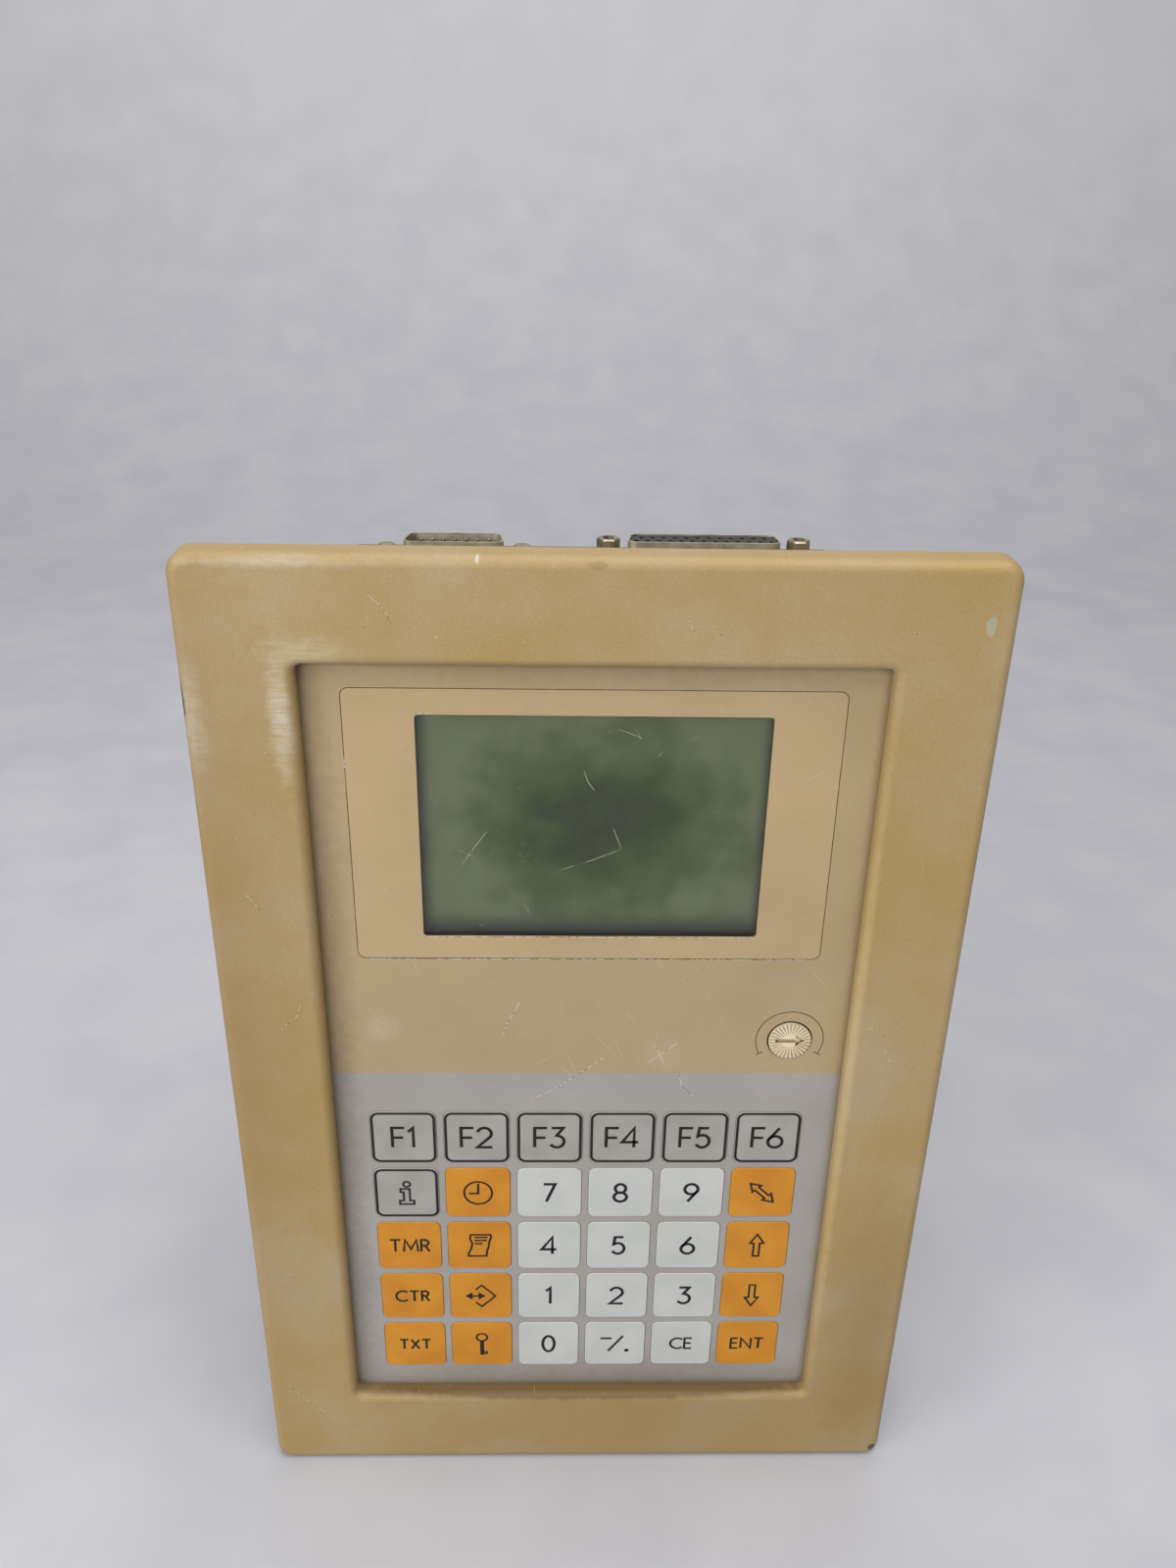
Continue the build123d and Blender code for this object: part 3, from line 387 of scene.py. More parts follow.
# Liquid crystal cell: two sheets of glass with a grey-green film, held by the display's bezel.
# It has gone dark in a cloudy blotch at its middle, olive green round a brownish core, and it
# is shaded by the bezel along its edges.
cell, tree, shader, place = surface(
    "liquid_crystal_cell", {"Roughness": 0.4, "IOR": 1.52, "Specular IOR Level": 0.25}
)
blotch_centre, blotch_reach = (2.0, -1.0, 75.5), (41.0, 30.0, 31.0)
share = from_centre(tree, place, blotch_centre, blotch_reach, fuzz=1.1, grain=11.0)
colour = add(
    tree, "ValToRGB", {"Fac": share},
    [(0.0, "43492D"), (0.15, "374516"), (0.36, "415C18"), (0.58, "60743C"), (0.8, "7C8A60"),
     (1.0, "919D7C")],
)
for centre, reach, code, strength in (
    # green clouds below, at the right and at the left of the core
    ((-5.0, -1.0, 61.0), (11.0, 9.0, 7.0), "4C6A28", 0.4),
    ((16.0, -1.0, 64.0), (20.0, 9.0, 12.0), "5F7C3E", 0.4),
    ((-14.0, -1.0, 88.0), (12.0, 9.0, 8.0), "5A7436", 0.4),
    # paler film at the left and in the lower right corner
    ((-37.0, -1.0, 84.0), (9.0, 9.0, 14.0), "97A18A", 0.5),
    ((33.0, -1.0, 56.0), (14.0, 9.0, 11.0), "96A284", 0.5),
):
    mask = near(tree, place, centre, reach, fuzz=0.9, core=0.1)
    mask = add(tree, "Math", {0: mask, 1: strength}, operation="MULTIPLY").outputs[0]
    colour = add(tree, "MixRGB", {
        "Fac": mask, "Color1": colour.outputs["Color"], "Color2": linear(code),
    })
# Shade along the lower, left, right and upper edge: where it starts and ends, and its depth.
sides = add(tree, "SeparateXYZ", {"Vector": place})
for axis, edge, inner, depth in (
    ("Z", 44.0, 53.0, 1.0), ("X", -43.0, -38.0, 0.75), ("X", 42.5, 39.5, 0.6),
    ("Z", 106.5, 104.0, 0.4),
):
    shade = add(tree, "MapRange", {
        "Value": sides.outputs[axis], "From Min": edge * mm, "From Max": inner * mm,
        "To Min": depth, "To Max": 0.0,
    }, interpolation_type="SMOOTHSTEP")
    colour = add(tree, "MixRGB", {
        "Fac": shade.outputs["Result"], "Color1": colour.outputs["Color"],
        "Color2": linear("1C2729"),
    })
fill(tree, shader, {"Base Color": colour.outputs["Color"]})
dress(cell, "lcd_glass")

# Contrast knob: a fluted disc moulded in acetal and pushed on its shaft. It was cream and has
# gone yellow, looks satin, and has dirt and painted shade in its flutes and its arrow slot.


def moulded(name, shades, roughness, grain, dirt_and_shade, openness=0.7):
    """A moulded plastic: soft clouds of three shades, eroded grain in mm, hollows in dirt and
    painted shade.
    """
    cloud_size = 11.1
    made, tree, shader, place = surface(name, {"IOR": 1.5, "Roughness": roughness})
    cloud = add(tree, "TexNoise", {"Vector": place, "Scale": per_mm / cloud_size, "Detail": 6.0})
    tone = add(
        tree, "ValToRGB", {"Fac": cloud.outputs["Fac"]},
        [(0.32, shades[0]), (0.5, shades[1]), (0.68, shades[2])],
    )
    # Darker in hollows and gaps from ambient occlusion: dirt and painted shade.
    corners = add(tree, "AmbientOcclusion", {"Distance": 1.2 * mm}, samples=8)
    mask = add(tree, "MapRange", {
        "Value": corners.outputs["AO"], "From Min": openness, "From Max": openness - 0.45,
    })
    colour = add(tree, "MixRGB", {
        "Fac": mask.outputs["Result"], "Color1": tone.outputs["Color"], "Color2": linear(dirt_and_shade),
    })
    pits = add(tree, "TexNoise", {"Vector": place, "Scale": per_mm / grain, "Detail": 3.0})
    relief = add(tree, "Bump", {
        "Height": pits.outputs["Fac"], "Distance": 0.03 * mm, "Strength": 0.4,
    })
    fill(tree, shader, {
        "Base Color": colour.outputs["Color"], "Normal": relief.outputs["Normal"],
    })
    return made


acetal = moulded(
    "yellowed_acetal", ("E0CFA8", "EBDCB8", "F4E9CE"), roughness=0.42, grain=0.3, dirt_and_shade="6A5230",
    openness=0.9,
)
dress(acetal, "contrast_knob")

# Key caps: single caps moulded in orange, white and grey, guided by the plate behind the foil.
# They look satin and clean on top, with dirt and painted shade along the gaps round them.
rows = [
    ["f1", "f2", "f3", "f4", "f5", "f6"],
    ["info", "clock", "7", "8", "9", "diagonal"],
    ["timer", "list", "4", "5", "6", "up"],
    ["counter", "transfer", "1", "2", "3", "down"],
    ["text", "lock", "0", "sign_point", "clear", "enter"],
]
function_keys, digits = rows[0], list("0123456789")
grey_keys = function_keys + ["info"]
white_keys = digits + ["sign_point", "clear"]
key_grain = 0.35
grey_cap = moulded(
    "grey_abs", ("9D9993", "A5A09A", "ABA6A0"), roughness=0.45, grain=key_grain, dirt_and_shade="6B655D"
)
white_cap = moulded(
    "white_abs", ("C0C3BE", "C5C7C3", "C9CBC6"), roughness=0.45, grain=key_grain, dirt_and_shade="98978F"
)
orange_cap = moulded(
    "orange_abs", ("C77F0E", "CE8810", "D49018"), roughness=0.42, grain=key_grain, dirt_and_shade="96641A"
)
for names in rows:
    for name in names:
        cap = grey_cap if name in grey_keys else white_cap if name in white_keys else orange_cap
        dress(cap, "key_" + name)

# Legends: dark matt ink, screen printed on the caps in plain strokes of one width, as letters,
# digits and signs. The grey keys also have a printed outline.


def stroke(piece, points, width, base, thickness):
    """One printed line: a mitred strip of ink through points in X and Z, in millimetres.

    The least mitre keeps a sharp corner from growing into a long spike.
    """
    least_mitre = 0.45
    closed = points[0] == points[-1]
    points = points[:-1] if closed else points
    count = len(points)
    rims = []
    for i, (x, z) in enumerate(points):
        before = points[i - 1] if i or closed else None
        after = points[(i + 1) % count] if i + 1 < count or closed else None
        ways = []
        for start, end in ((before, (x, z)), ((x, z), after)):
            if start and end:
                ways.append((Vector(end) - Vector(start)).normalized())
        normals = [Vector((-way.y, way.x)) for way in ways]
        side = sum(normals, Vector((0.0, 0.0))).normalized()
        side = side * (width / 2) / max(side.dot(normals[0]), least_mitre)
        top = base - thickness
        rims.append([
            piece.verts.new(Vector((x + s * side.x, depth, z + s * side.y)) * mm)
            for s, depth in ((1, base), (1, top), (-1, top), (-1, base))
        ])
    for i in range(count if closed else count - 1):
        first, second = rims[i], rims[(i + 1) % count]
        for k in range(3):
            piece.faces.new((first[k], first[k + 1], second[k + 1], second[k]))
    if not closed:
        piece.faces.new(rims[0])
        piece.faces.new(rims[-1][::-1])


def printed(name, strokes, width, base, body, material):
    """A print of several lines on a face that looks forward. Crossing lines differ in height."""
    film, height_step, heights = 0.02, 0.0015, 8
    piece = bmesh.new()
    for i, points in enumerate(strokes):
        stroke(piece, points, width, base, film + height_step * (i % heights))
    mesh = bpy.data.meshes.new(name)
    bmesh.ops.recalc_face_normals(piece, faces=piece.faces)
    piece.to_mesh(mesh)
    piece.free()
    mesh.materials.append(material)
    made = bpy.data.objects.new(name, mesh)
    bpy.context.collection.objects.link(made)
    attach(made, body)


def arc(x, z, across, high, start, end, step=10):
    """Points on an ellipse about a centre, between two angles in degrees."""
    fewest = 6
    count = max(fewest, round(abs(end - start) / step))
    angles = [math.radians(start + (end - start) * i / count) for i in range(count + 1)]
    return [(x + across * math.cos(a), z + high * math.sin(a)) for a in angles]


def ring(x, z, across, high):
    """A closed ellipse."""
    points = arc(x, z, across, high, 0, 360)
    return points[:-1] + points[:1]


def rounded_box(width, height, corner):
    """A closed rectangle with rounded corners about zero."""
    points = []
    for side_x, side_z, start in ((1, 1, 0), (-1, 1, 90), (-1, -1, 180), (1, -1, 270)):
        centre_x, centre_z = side_x * (width / 2 - corner), side_z * (height / 2 - corner)
        points += arc(centre_x, centre_z, corner, corner, start, start + 90)
    return points + points[:1]


thin_spot_size = 0.455
ink, tree, shader, place = surface("screen_ink", {"Roughness": 0.75, "IOR": 1.5})
thin = add(tree, "TexNoise", {"Vector": place, "Scale": per_mm / thin_spot_size, "Detail": 4.0})
tone = add(
    tree, "ValToRGB", {"Fac": thin.outputs["Fac"]},
    [(0.4, "0B0A09"), (0.7, "12100E"), (0.9, "2C2822")],
)
fill(tree, shader, {"Base Color": tone.outputs["Color"]})
# Letters are drawn one unit high. Each has its width and its strokes.
six = [(0.43, 1.0), (0.05, 0.44)] + arc(0.29, 0.29, 0.29, 0.29, 148, -212)
letters = {
    "0": (0.54, [ring(0.27, 0.5, 0.27, 0.5)]),
    "1": (0.26, [[(0.0, 0.79), (0.2, 1.0), (0.2, 0.0)]]),
    "2": (0.6, [arc(0.29, 0.71, 0.28, 0.29, 165, -38) + [(0.0, 0.0), (0.6, 0.0)]]),
    "3": (0.56, [[(0.04, 1.0), (0.5, 1.0), (0.24, 0.61)] + arc(0.25, 0.3, 0.29, 0.3, 75, -150)]),
    "4": (0.66, [[(0.48, 0.0), (0.48, 1.0), (0.0, 0.27), (0.66, 0.27)]]),
    "5": (0.56, [[(0.5, 1.0), (0.12, 1.0), (0.07, 0.57)] + arc(0.26, 0.32, 0.28, 0.32, 122, -150)]),
    "6": (0.58, [six]),
    "7": (0.5, [[(0.0, 1.0), (0.5, 1.0), (0.12, 0.0)]]),
    "8": (0.56, [ring(0.28, 0.75, 0.23, 0.25), ring(0.28, 0.26, 0.28, 0.26)]),
    "9": (0.58, [[(0.58 - x, 1.0 - z) for x, z in six]]),
    "C": (0.78, [arc(0.5, 0.5, 0.5, 0.5, 48, 312)]),
    "E": (0.5, [
        [(0.5, 1.0), (0.0, 1.0), (0.0, 0.0), (0.5, 0.0)], [(0.0, 0.52), (0.45, 0.52)],
    ]),
    "F": (0.5, [[(0.5, 1.0), (0.0, 1.0), (0.0, 0.0)], [(0.0, 0.5), (0.44, 0.5)]]),
    "M": (0.92, [[(0.0, 0.0), (0.1, 1.0), (0.46, 0.2), (0.82, 1.0), (0.92, 0.0)]]),
    "N": (0.72, [[(0.0, 0.0), (0.0, 1.0), (0.72, 0.0), (0.72, 1.0)]]),
    "R": (0.52, [
        [(0.0, 0.0), (0.0, 1.0), (0.24, 1.0)] + arc(0.24, 0.76, 0.23, 0.24, 90, -90)
        + [(0.0, 0.52)],
        [(0.24, 0.52), (0.52, 0.0)],
    ]),
    "T": (0.66, [[(0.0, 1.0), (0.66, 1.0)], [(0.33, 1.0), (0.33, 0.0)]]),
    "X": (0.62, [[(0.0, 1.0), (0.62, 0.0)], [(0.0, 0.0), (0.62, 1.0)]]),
}


def word(text, height, gap):
    """The strokes of a word about zero, with its height and letter gap in millimetres."""
    width = sum(letters[c][0] * height for c in text) + gap * (len(text) - 1)
    strokes = []
    start = -width / 2
    for c in text:
        own, lines = letters[c]
        for points in lines:
            strokes.append([(start + x * height, (z - 0.5) * height) for x, z in points])
        start += own * height + gap
    return strokes


def arrow(length, head_length, head_width, shaft_width, degrees, both=False):
    """A hollow arrow about zero that points at an angle, with one head or two."""
    tip, neck = length / 2, length / 2 - head_length
    half, shaft = head_width / 2, shaft_width / 2
    outline = [(tip, 0.0), (neck, half), (neck, shaft)]
    if both:
        outline += [
            (-neck, shaft), (-neck, half), (-tip, 0.0), (-neck, -half), (-neck, -shaft),
        ]
    else:
        outline += [(-tip, shaft), (-tip, -shaft)]
    outline += [(neck, -shaft), (neck, -half), (tip, 0.0)]
    cos, sin = math.cos(math.radians(degrees)), math.sin(math.radians(degrees))
    return [(x * cos - z * sin, x * sin + z * cos) for x, z in outline]


function_height, digit_height, letter_gap, word_gap = 6.8, 6.4, 1.0, 0.9
digit_line, word_line, sign_line, point_line, outline_line = 0.9, 0.7, 0.6, 0.75, 0.75
outline_width, outline_height, outline_corner = 16.9, 16.7, 1.9
arrow_length, head_length, head_width, shaft_width = 8.4, 3.4, 4.0, 1.7
# Signs are drawn in millimetres about the middle of their cap.
signs = {
    "info": [
        ring(0.1, 3.2, 0.95, 0.95),
        [(-1.7, 1.5), (0.85, 1.5), (0.85, -2.8), (2.0, -2.8), (2.0, -4.1), (-2.0, -4.1),
         (-2.0, -2.8), (-0.85, -2.8), (-0.85, 0.3), (-1.7, 0.3), (-1.7, 1.5)],
    ],
    "clock": [
        ring(0.0, 0.0, 3.9, 4.1),
        [(0.0, 3.4), (0.0, -0.2), (-2.6, -0.2)],
        [(0.1, 3.4), (0.1, -0.3)],
    ],
    "diagonal": [
        arrow(9.6, head_length=2.7, head_width=3.4, shaft_width=1.5, degrees=-45, both=True),
    ],
    "list": [
        [(-2.4, 4.2), (3.2, 4.2), (3.4, 3.2), (2.8, 1.4), (2.7, -0.2), (2.2, -1.8), (2.0, -4.0),
         (-3.2, -4.0), (-3.2, -3.0), (-2.4, -1.2), (-2.0, 0.8), (-2.7, 2.8), (-2.4, 4.2)],
        [(-1.4, 3.2), (2.4, 3.2)], [(-1.4, 2.0), (2.2, 2.0)], [(-1.4, 0.8), (0.9, 0.8)],
    ],
    "up": [arrow(arrow_length, head_length, head_width, shaft_width, 90)],
    "down": [arrow(arrow_length, head_length, head_width, shaft_width, -90)],
    "transfer": [
        [(-1.5, 2.5), (0.3, 4.3), (4.3, 0.0), (0.3, -4.3), (-1.5, -2.5)],
        [(-3.6, 0.0), (0.2, 0.0)],
        [(-2.7, 0.9), (-4.0, 0.0), (-2.7, -0.9), (-2.7, 0.9)],
        [(-0.4, 0.9), (0.9, 0.0), (-0.4, -0.9), (-0.4, 0.9)],
    ],
    "lock": [
        ring(0.0, 2.8, 1.6, 1.5),
        [(-0.3, 1.3), (-0.3, -4.3), (0.3, -4.3), (0.3, 1.3)],
        [(0.3, -4.0), (1.4, -4.0), (1.4, -3.0)],
        [(0.3, -3.1), (0.9, -3.1)],
    ],
    "sign_point": [
        [(-4.4, 2.2), (-1.0, 2.2)], [(-2.0, -3.2), (2.4, 3.2)], ring(3.6, -2.9, 0.3, 0.3),
    ],
}
for name in function_keys:
    signs[name] = word(name.upper(), function_height, letter_gap)
for name in digits:
    signs[name] = word(name, digit_height, letter_gap)
words = {
    "timer": ("TMR", 4.5), "counter": ("CTR", 4.0), "text": ("TXT", 3.8), "clear": ("CE", 4.3),
    "enter": ("ENT", 4.2),
}
for name, (text, height) in words.items():
    signs[name] = word(text, height, word_gap)
for names in rows:
    for name in names:
        low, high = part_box("key_" + name)
        centre_x, centre_z = (low[0] + high[0]) / 2 / mm, (low[2] + high[2]) / 2 / mm
        face = low[1] / mm
        line = sign_line
        if name in words:
            line = word_line
        elif name in function_keys or name in digits:
            line = digit_line
        elif name == "sign_point":
            line = point_line
        strokes = [[(x + centre_x, z + centre_z) for x, z in points] for points in signs[name]]
        printed("legend_" + name, strokes, line, face, "button_" + name, ink)
        if name in grey_keys:
            box = rounded_box(outline_width, outline_height, outline_corner)
            outline = [(x + centre_x, z + centre_z) for x, z in box]
            printed(
                "outline_" + name, [outline], outline_line, face, "button_" + name, ink,
            )

# Contrast scale: a thin arc in the same ink round the knob, printed on the foil, with an end
# stroke across it at each of the knob's limits.
scale_radius, tick, scale_line = 8.96, 1.1, 0.2
scale_ends = (-30, 210)
low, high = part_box("contrast_knob")
knob_x, knob_z = (low[0] + high[0]) / 2 / mm, (low[2] + high[2]) / 2 / mm
foil_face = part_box("front_foil")[0][1] / mm
strokes = [arc(knob_x, knob_z, scale_radius, scale_radius, *scale_ends, step=4)]
for degrees in scale_ends:
    way = Vector((math.cos(math.radians(degrees)), math.sin(math.radians(degrees))))
    strokes.append([
        (knob_x + way.x * reach, knob_z + way.y * reach)
        for reach in (scale_radius - tick, scale_radius + tick)
    ])
printed("contrast_scale", strokes, scale_line, foil_face, "panel", ink)

# Deep scratches in the foil and the frame: burrs of torn lacquer, raised along each cut. They
# look whitish and broken. The long ones lie as in the photograph, short nicks are strewn.
break_size = 1.111
burr, tree, shader, place = surface("torn_lacquer", {"Roughness": 0.6, "IOR": 1.5})
breaks = add(tree, "TexNoise", {"Vector": place, "Scale": per_mm / break_size, "Detail": 3.0})
tone = add(
    tree, "ValToRGB", {"Fac": breaks.outputs["Fac"]}, [(0.4, "D9D5CC"), (0.7, "B9AF9A")]
)
alpha = add(tree, "MapRange", {
    "Value": breaks.outputs["Fac"], "From Min": 0.42, "From Max": 0.52,
})
fill(tree, shader, {"Base Color": tone.outputs["Color"], "Alpha": alpha.outputs["Result"]})
scratches = [
    [(-22.5, 14.5), (-21.0, 19.0), (-18.4, 24.0), (-17.6, 26.5)],
    [(-14.8, -6.8), (-9.0, -3.5), (-2.0, 2.0), (4.4, 7.2)],
    [(15.5, 5.0), (19.0, 8.0), (23.6, 12.0)],
    [(17.5, 11.5), (19.2, 8.2), (20.5, 4.6)],
    [(24.5, 1.5), (25.5, -2.0), (28.5, -5.5)],
    [(-57.8, -33.0), (-57.2, -38.0), (-57.5, -40.5)],
]
foil_cut, frame_cut = 0.26, 0.14
printed("foil_scratches", scratches, foil_cut, foil_face, "panel", burr)
frame_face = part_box("front_frame")[0][1] / mm
scratches = [
    [(-50.0, 136.0), (-47.0, 133.0), (-45.5, 129.5)],
    [(-84.0, 60.0), (-80.5, 55.0)],
    [(-79.0, 20.0), (-74.5, 24.0), (-73.0, 29.0)],
    [(77.0, 14.0), (80.0, 9.0)],
    [(-88.0, -112.0), (-81.0, -121.0), (-72.0, -128.0)],
    [(20.0, 131.0), (22.0, 127.5)],
]
frame_nicks, shortest_nick, longest_nick = 150, 0.15, 1.1
frame_side, frame_end = 90, 141
field_side, field_top, field_bottom = 73, 125, -123
dice = random.Random(4)
for _ in range(frame_nicks):
    x, z = dice.uniform(-frame_side, frame_side), dice.uniform(-frame_end, frame_end)
    angle, reach = dice.uniform(0, math.pi), dice.uniform(shortest_nick, longest_nick)
    if abs(x) > field_side or z > field_top or z < field_bottom:
        scratches.append([(x, z), (x + reach * math.cos(angle), z + reach * math.sin(angle))])
printed("frame_scratches", scratches, frame_cut, frame_face, "panel", burr)

# Window scratches: a few long ones and short nicks in the pane, of the same torn lacquer. The
# insert's cut edges below the pane and at its own lower seam show as fine bright lines.
pane_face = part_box("display_window")[0][1] / mm
scratches = [
    [(-25.6, 74.9), (-28.6, 70.8), (-32.3, 65.1)],
    [(-32.8, 69.7), (-29.0, 68.0)],
    [(-2.3, 91.5), (-1.4, 88.6), (0.2, 86.3)],
    [(5.0, 76.0), (7.2, 70.3), (0.7, 67.4), (-10.0, 63.4)],
    [(5.3, 102.4), (8.0, 101.4), (11.0, 100.1)],
    [(9.4, 102.6), (11.4, 98.9)],
    [(22.6, 99.4), (24.6, 100.6)],
    [(15.2, 95.2), (16.2, 96.6)],
    [(9.3, 82.4), (9.7, 81.3), (10.4, 81.0)],
    [(-18.9, 69.4), (-17.4, 68.4)],
    [(-23.8, 50.9), (-22.8, 52.0)],
    [(-17.4, 54.6), (-16.2, 53.8), (-15.4, 51.6)],
    [(-27.9, 48.6), (-27.0, 47.6)],
]
pane_nicks, longest_nick = 70, 0.7
pane_side, pane_bottom, pane_top = 40, 48, 104
pane_cut, edge_line = 0.11, 0.22
for _ in range(pane_nicks):
    x, z = dice.uniform(-pane_side, pane_side), dice.uniform(pane_bottom, pane_top)
    angle, reach = dice.uniform(0, math.pi), dice.uniform(shortest_nick, longest_nick)
    scratches.append([(x, z), (x + reach * math.cos(angle), z + reach * math.sin(angle))])
printed("window_scratches", scratches, pane_cut, pane_face, "panel", burr)
low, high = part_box("display_insert")
seam_x, seam_low, seam_high = high[0] / mm, low[2] / mm, high[2] / mm
below_seam = seam_low - 0.2
edges = [
    [(-40.8, 45.0), (-12.0, 45.0), (8.0, 45.0), (41.6, 45.0)],
    [(-41.8, 106.0), (-38.6, 106.1)],
    [(-56.5, below_seam), (-20.0, below_seam - 0.05), (4.0, below_seam), (55.0, below_seam)],
    [(-seam_x, seam_high - 18.0), (-seam_x - 0.1, seam_high - 20.5)],
]
printed("bright_edges", edges, edge_line, foil_face, "panel", burr)

# Dirt in the seam round the insert: dust and grease, wiped in as a thin, matt, broken line.
gap_size, seam_corner, seam_line = 4.0, 2.0, 0.2
soot, tree, shader, place = surface("seam_dirt", {"Roughness": 0.9, "IOR": 1.5})
gaps = add(tree, "TexNoise", {"Vector": place, "Scale": per_mm / gap_size, "Detail": 4.0})
tone = add(
    tree, "ValToRGB", {"Fac": gaps.outputs["Fac"]}, [(0.35, "4A371C"), (0.7, "6A5432")]
)
alpha = add(tree, "MapRange", {
    "Value": gaps.outputs["Fac"], "From Min": 0.72, "From Max": 0.42,
})
fill(tree, shader, {"Base Color": tone.outputs["Color"], "Alpha": alpha.outputs["Result"]})
box = rounded_box(2 * seam_x, seam_high - seam_low, seam_corner)
seam = [(x, z + (seam_low + seam_high) / 2) for x, z in box]
printed("insert_seam", [seam], seam_line, foil_face, "panel", soot)

# Rear housing and cover: zinc plated sheet steel, folded, and screwed to the frame. Its thin
# brown paint looks half matt under dust, and is scratched by handling.
cloud_size, dust_size = 33.3, 8.33
sheet, tree, shader, place = surface("brown_paint_on_zinc_plated_sheet", {"IOR": 1.5})
cloud = add(tree, "TexNoise", {"Vector": place, "Scale": per_mm / cloud_size, "Detail": 7.0})
tone = add(
    tree, "ValToRGB", {"Fac": cloud.outputs["Fac"]},
    [(0.3, "54452F"), (0.5, "5F4F38"), (0.7, "6E5E46")],
)
dust = add(tree, "TexNoise", {
    "Vector": place, "Scale": per_mm / dust_size, "Detail": 9.0, "Roughness": 0.75,
})
dust_mask = add(tree, "MapRange", {
    "Value": dust.outputs["Fac"], "From Min": 0.42, "From Max": 0.8, "To Max": 0.5,
})
colour = add(tree, "MixRGB", {
    "Fac": dust_mask.outputs["Result"], "Color1": tone.outputs["Color"],
    "Color2": linear("8E8674"),
})
for angle in (0.2, 1.2):
    mask = streaks(tree, place, angle, width=0.4, length=18.0, share=0.28)
    colour = add(tree, "MixRGB", {
        "Fac": mask, "Color1": colour.outputs["Color"], "Color2": linear("9C9686"),
    })
relief = add(tree, "Bump", {
    "Height": dust.outputs["Fac"], "Distance": 0.04 * mm, "Strength": 0.4,
})
fill(tree, shader, {
    "Base Color": colour.outputs["Color"], "Roughness": 0.55, "Normal": relief.outputs["Normal"],
})
dress(sheet, "housing_sides", "housing_ends", "rear_cover")

# Fasteners and connectors: zinc plated, yellow chromated screws and studs with dull stains,
# shells pressed from tinned steel, turned posts in dull nickel, and gold flashed pins.


def plated(name, shades, roughness, stretch):
    """A plated or rolled metal: stained in three shades, drawn in fine lines along an axis."""
    stain_size, line_size = 3.33, 0.667
    made, tree, shader, place = surface(name, {"Metallic": 1.0})
    cloud = add(tree, "TexNoise", {"Vector": place, "Scale": per_mm / stain_size, "Detail": 6.0})
    tone = add(
        tree, "ValToRGB", {"Fac": cloud.outputs["Fac"]},
        [(0.3, shades[0]), (0.5, shades[1]), (0.7, shades[2])],
    )
    drawn = add(tree, "Mapping", {"Vector": place, "Scale": stretch})
    lines = add(tree, "TexNoise", {
        "Vector": drawn.outputs[0], "Scale": per_mm / line_size, "Detail": 2.0,
    })
    polish = add(tree, "MapRange", {
        "Value": lines.outputs["Fac"], "To Min": roughness - 0.1, "To Max": roughness + 0.12,
    })
    relief = add(tree, "Bump", {
        "Height": lines.outputs["Fac"], "Distance": 0.02 * mm, "Strength": 0.35,
    })
    fill(tree, shader, {
        "Base Color": tone.outputs["Color"], "Roughness": polish.outputs["Result"],
        "Normal": relief.outputs["Normal"],
    })
    return made


for name, shades, roughness, stretch, pieces in (
    ("yellow_chromated_zinc", ("8A7B52", "A3946A", "B7AB86"), 0.38, (1.0, 0.1, 1.0),
     ["mounting_studs", "screws"]),
    ("stained_tin_plate", ("B0A88F", "C9C2AC", "DAD4C2"), 0.52, (0.1, 1.0, 1.0),
     ["data_socket_shell", "service_plug_shell"]),
    ("dull_nickel_plate", ("8F8570", "A89E87", "BAB19D"), 0.5, (1.0, 1.0, 0.2),
     ["connector_posts"]),
    ("gold_flash", ("8E7B56", "A28E66", "B5A37C"), 0.4, (1.0, 1.0, 0.3), ["service_plug_pins"]),
):
    dress(plated(name, shades, roughness, stretch), *pieces)

# Metal parts out of sight: snap domes punched from spring steel, the display's bezel of
# blackened sheet, and the drawn aluminium cans of capacitors and battery.
for name, shades, roughness, stretch, piece in (
    ("spring_steel", ("8F9091", "A5A6A6", "B8B9B8"), 0.25, (0.2, 1.0, 1.0), "snap_domes"),
    ("blackened_steel", ("1E1E1D", "282827", "343432"), 0.45, (0.1, 1.0, 1.0), "lcd_bezel"),
    ("drawn_aluminium", ("8E8F90", "A3A4A5", "B6B7B8"), 0.3, (1.0, 0.1, 1.0),
     "capacitors_and_battery"),
):
    dress(plated(name, shades, roughness, stretch), piece)

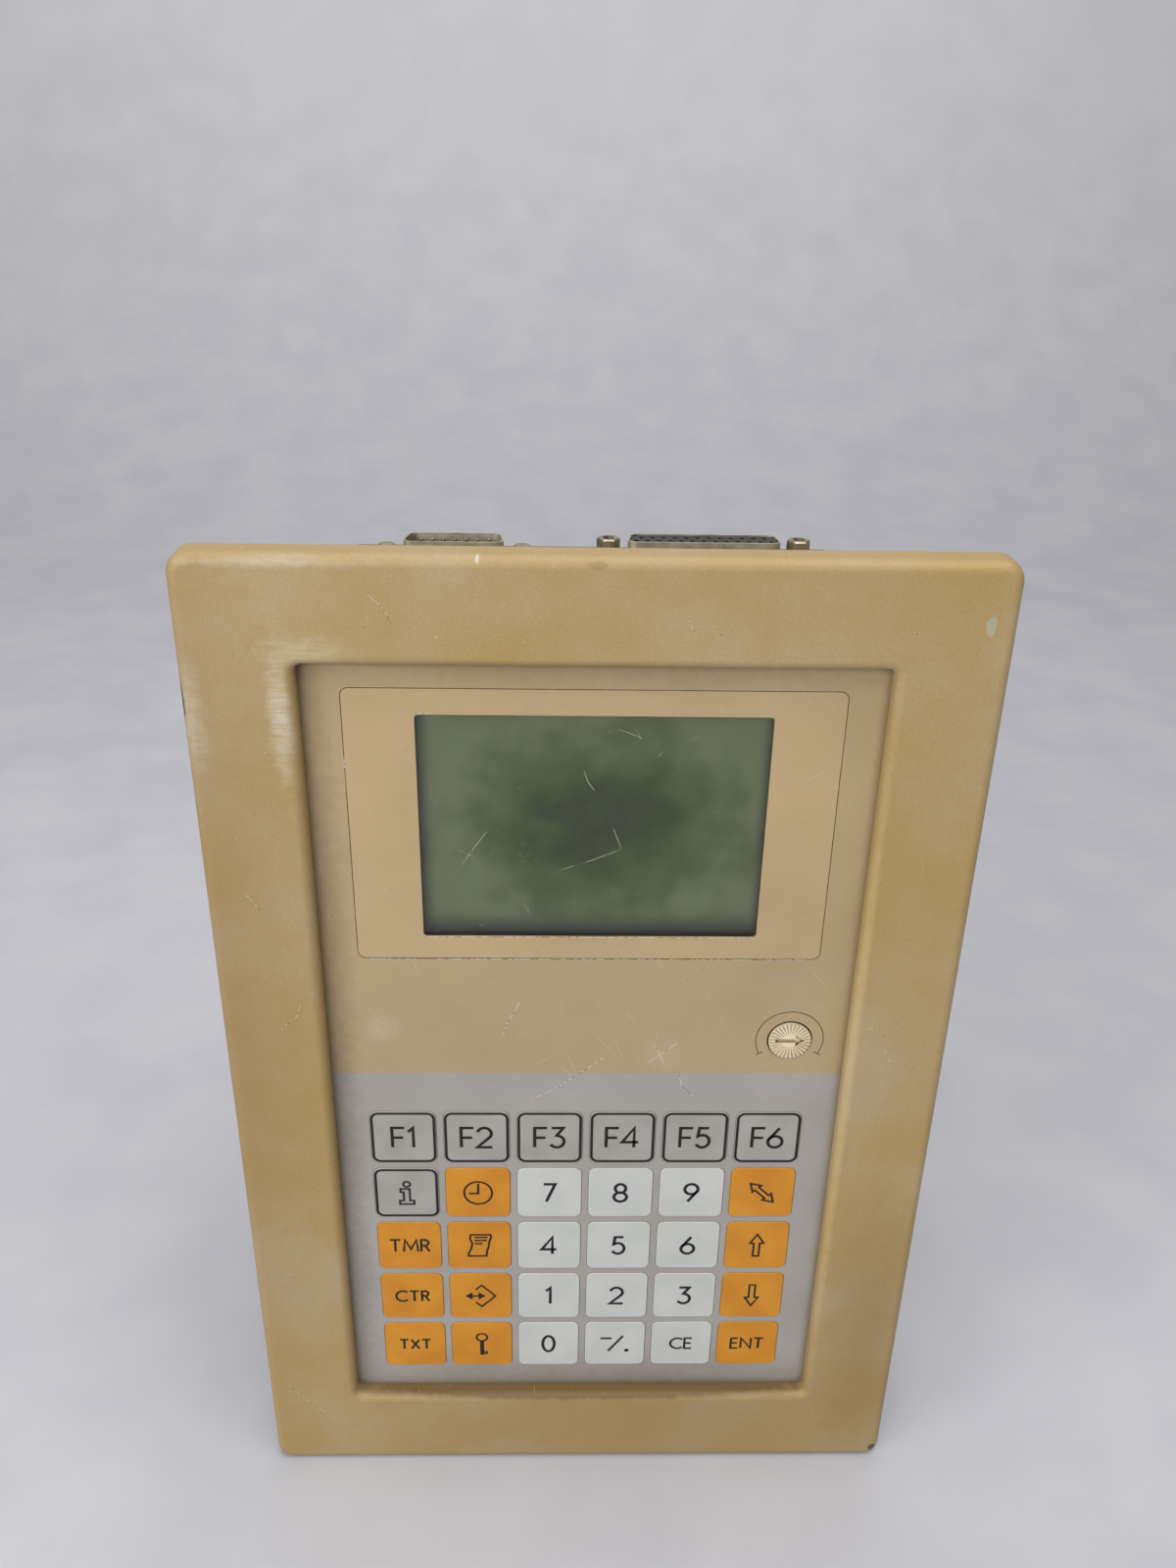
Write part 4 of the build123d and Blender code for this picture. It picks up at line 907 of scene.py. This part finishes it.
# Mouldings: the black plate that guides the keys, the connectors' insulators, chips, the grey
# supply terminal, the blue potentiometer, the clear light guide and the foamed rubber seal.
# All look satin, but for the matt rubber, and are darkened in their hollows by dirt and painted
# shade.
for name, shades, roughness, grain, dirt_and_shade, pieces in (
    ("black_abs", ("191918", "201F1E", "282725"), 0.5, 0.3, "0F0F0E", ["carrier_plate"]),
    ("glass_filled_polyester", ("1B1A19", "232220", "33302B"), 0.5, 0.25, "0E0E0D",
     ["data_socket_insert", "service_plug_insert"]),
    ("epoxy_chip", ("151514", "1C1C1B", "242423"), 0.55, 0.2, "0C0C0C", ["board_chips"]),
    ("grey_polyamide", ("5E615D", "686B66", "737670"), 0.5, 0.4, "3A3C38", ["power_terminal"]),
    ("blue_phenolic", ("1C3566", "234078", "2B4A86"), 0.4, 0.4, "122242",
     ["contrast_potentiometer"]),
    ("light_guide", ("C9CDBF", "D3D7CA", "DCE0D4"), 0.35, 0.6, "9CA090", ["lcd_backlight"]),
    ("foamed_rubber", ("171717", "1F1F1E", "282827"), 0.8, 0.5, "0D0D0D", ["panel_gasket"]),
):
    dress(moulded(name, shades, roughness, grain, dirt_and_shade), *pieces)

# Ribbon cables: grey PVC sheathed wires side by side, moulded together, which show as ribs,
# darker in the grooves between the wires as painted shade. A wave texture has 20 / (2 pi) bands
# for each unit of its scale.
wire_pitch = 1.27
jacket, tree, shader, place = surface("ribbed_pvc_ribbon", {"Roughness": 0.5, "IOR": 1.54})
wires = add(tree, "TexWave", {
    "Vector": place, "Scale": 2 * math.pi / 20 * per_mm / wire_pitch, "Distortion": 0.0,
}, wave_type="BANDS", bands_direction="X")
tone = add(
    tree, "ValToRGB", {"Fac": wires.outputs["Fac"]}, [(0.1, "6A6A6A"), (0.6, "8B8B8A")]
)
relief = add(tree, "Bump", {
    "Height": wires.outputs["Fac"], "Distance": 0.3 * mm, "Strength": 0.7,
})
fill(tree, shader, {"Base Color": tone.outputs["Color"], "Normal": relief.outputs["Normal"]})
dress(jacket, "ribbon_cables")

# Circuit boards: glass fibre laminate with etched tracks under a glossy green solder mask,
# screwed to the housing and to the display.
track_unit = 8.33
laminate, tree, shader, place = surface("solder_masked_laminate", {"Roughness": 0.3, "IOR": 1.55})
laid = add(tree, "Mapping", {"Vector": place, "Rotation": (math.pi / 2, 0.0, 0.0)})
tracks = add(tree, "TexBrick", {
    "Vector": laid.outputs[0], "Scale": per_mm / track_unit,
    "Color1": linear("1F5A33"), "Color2": linear("256A3C"), "Mortar": linear("123B20"),
    "Mortar Size": 0.03, "Brick Width": 1.4, "Row Height": 0.21,
})
relief = add(tree, "Bump", {
    "Height": tracks.outputs["Fac"], "Distance": 0.04 * mm, "Strength": 0.5,
})
fill(tree, shader, {"Base Color": tracks.outputs["Color"], "Normal": relief.outputs["Normal"]})
dress(laminate, "keypad_board", "lcd_board", "main_board")
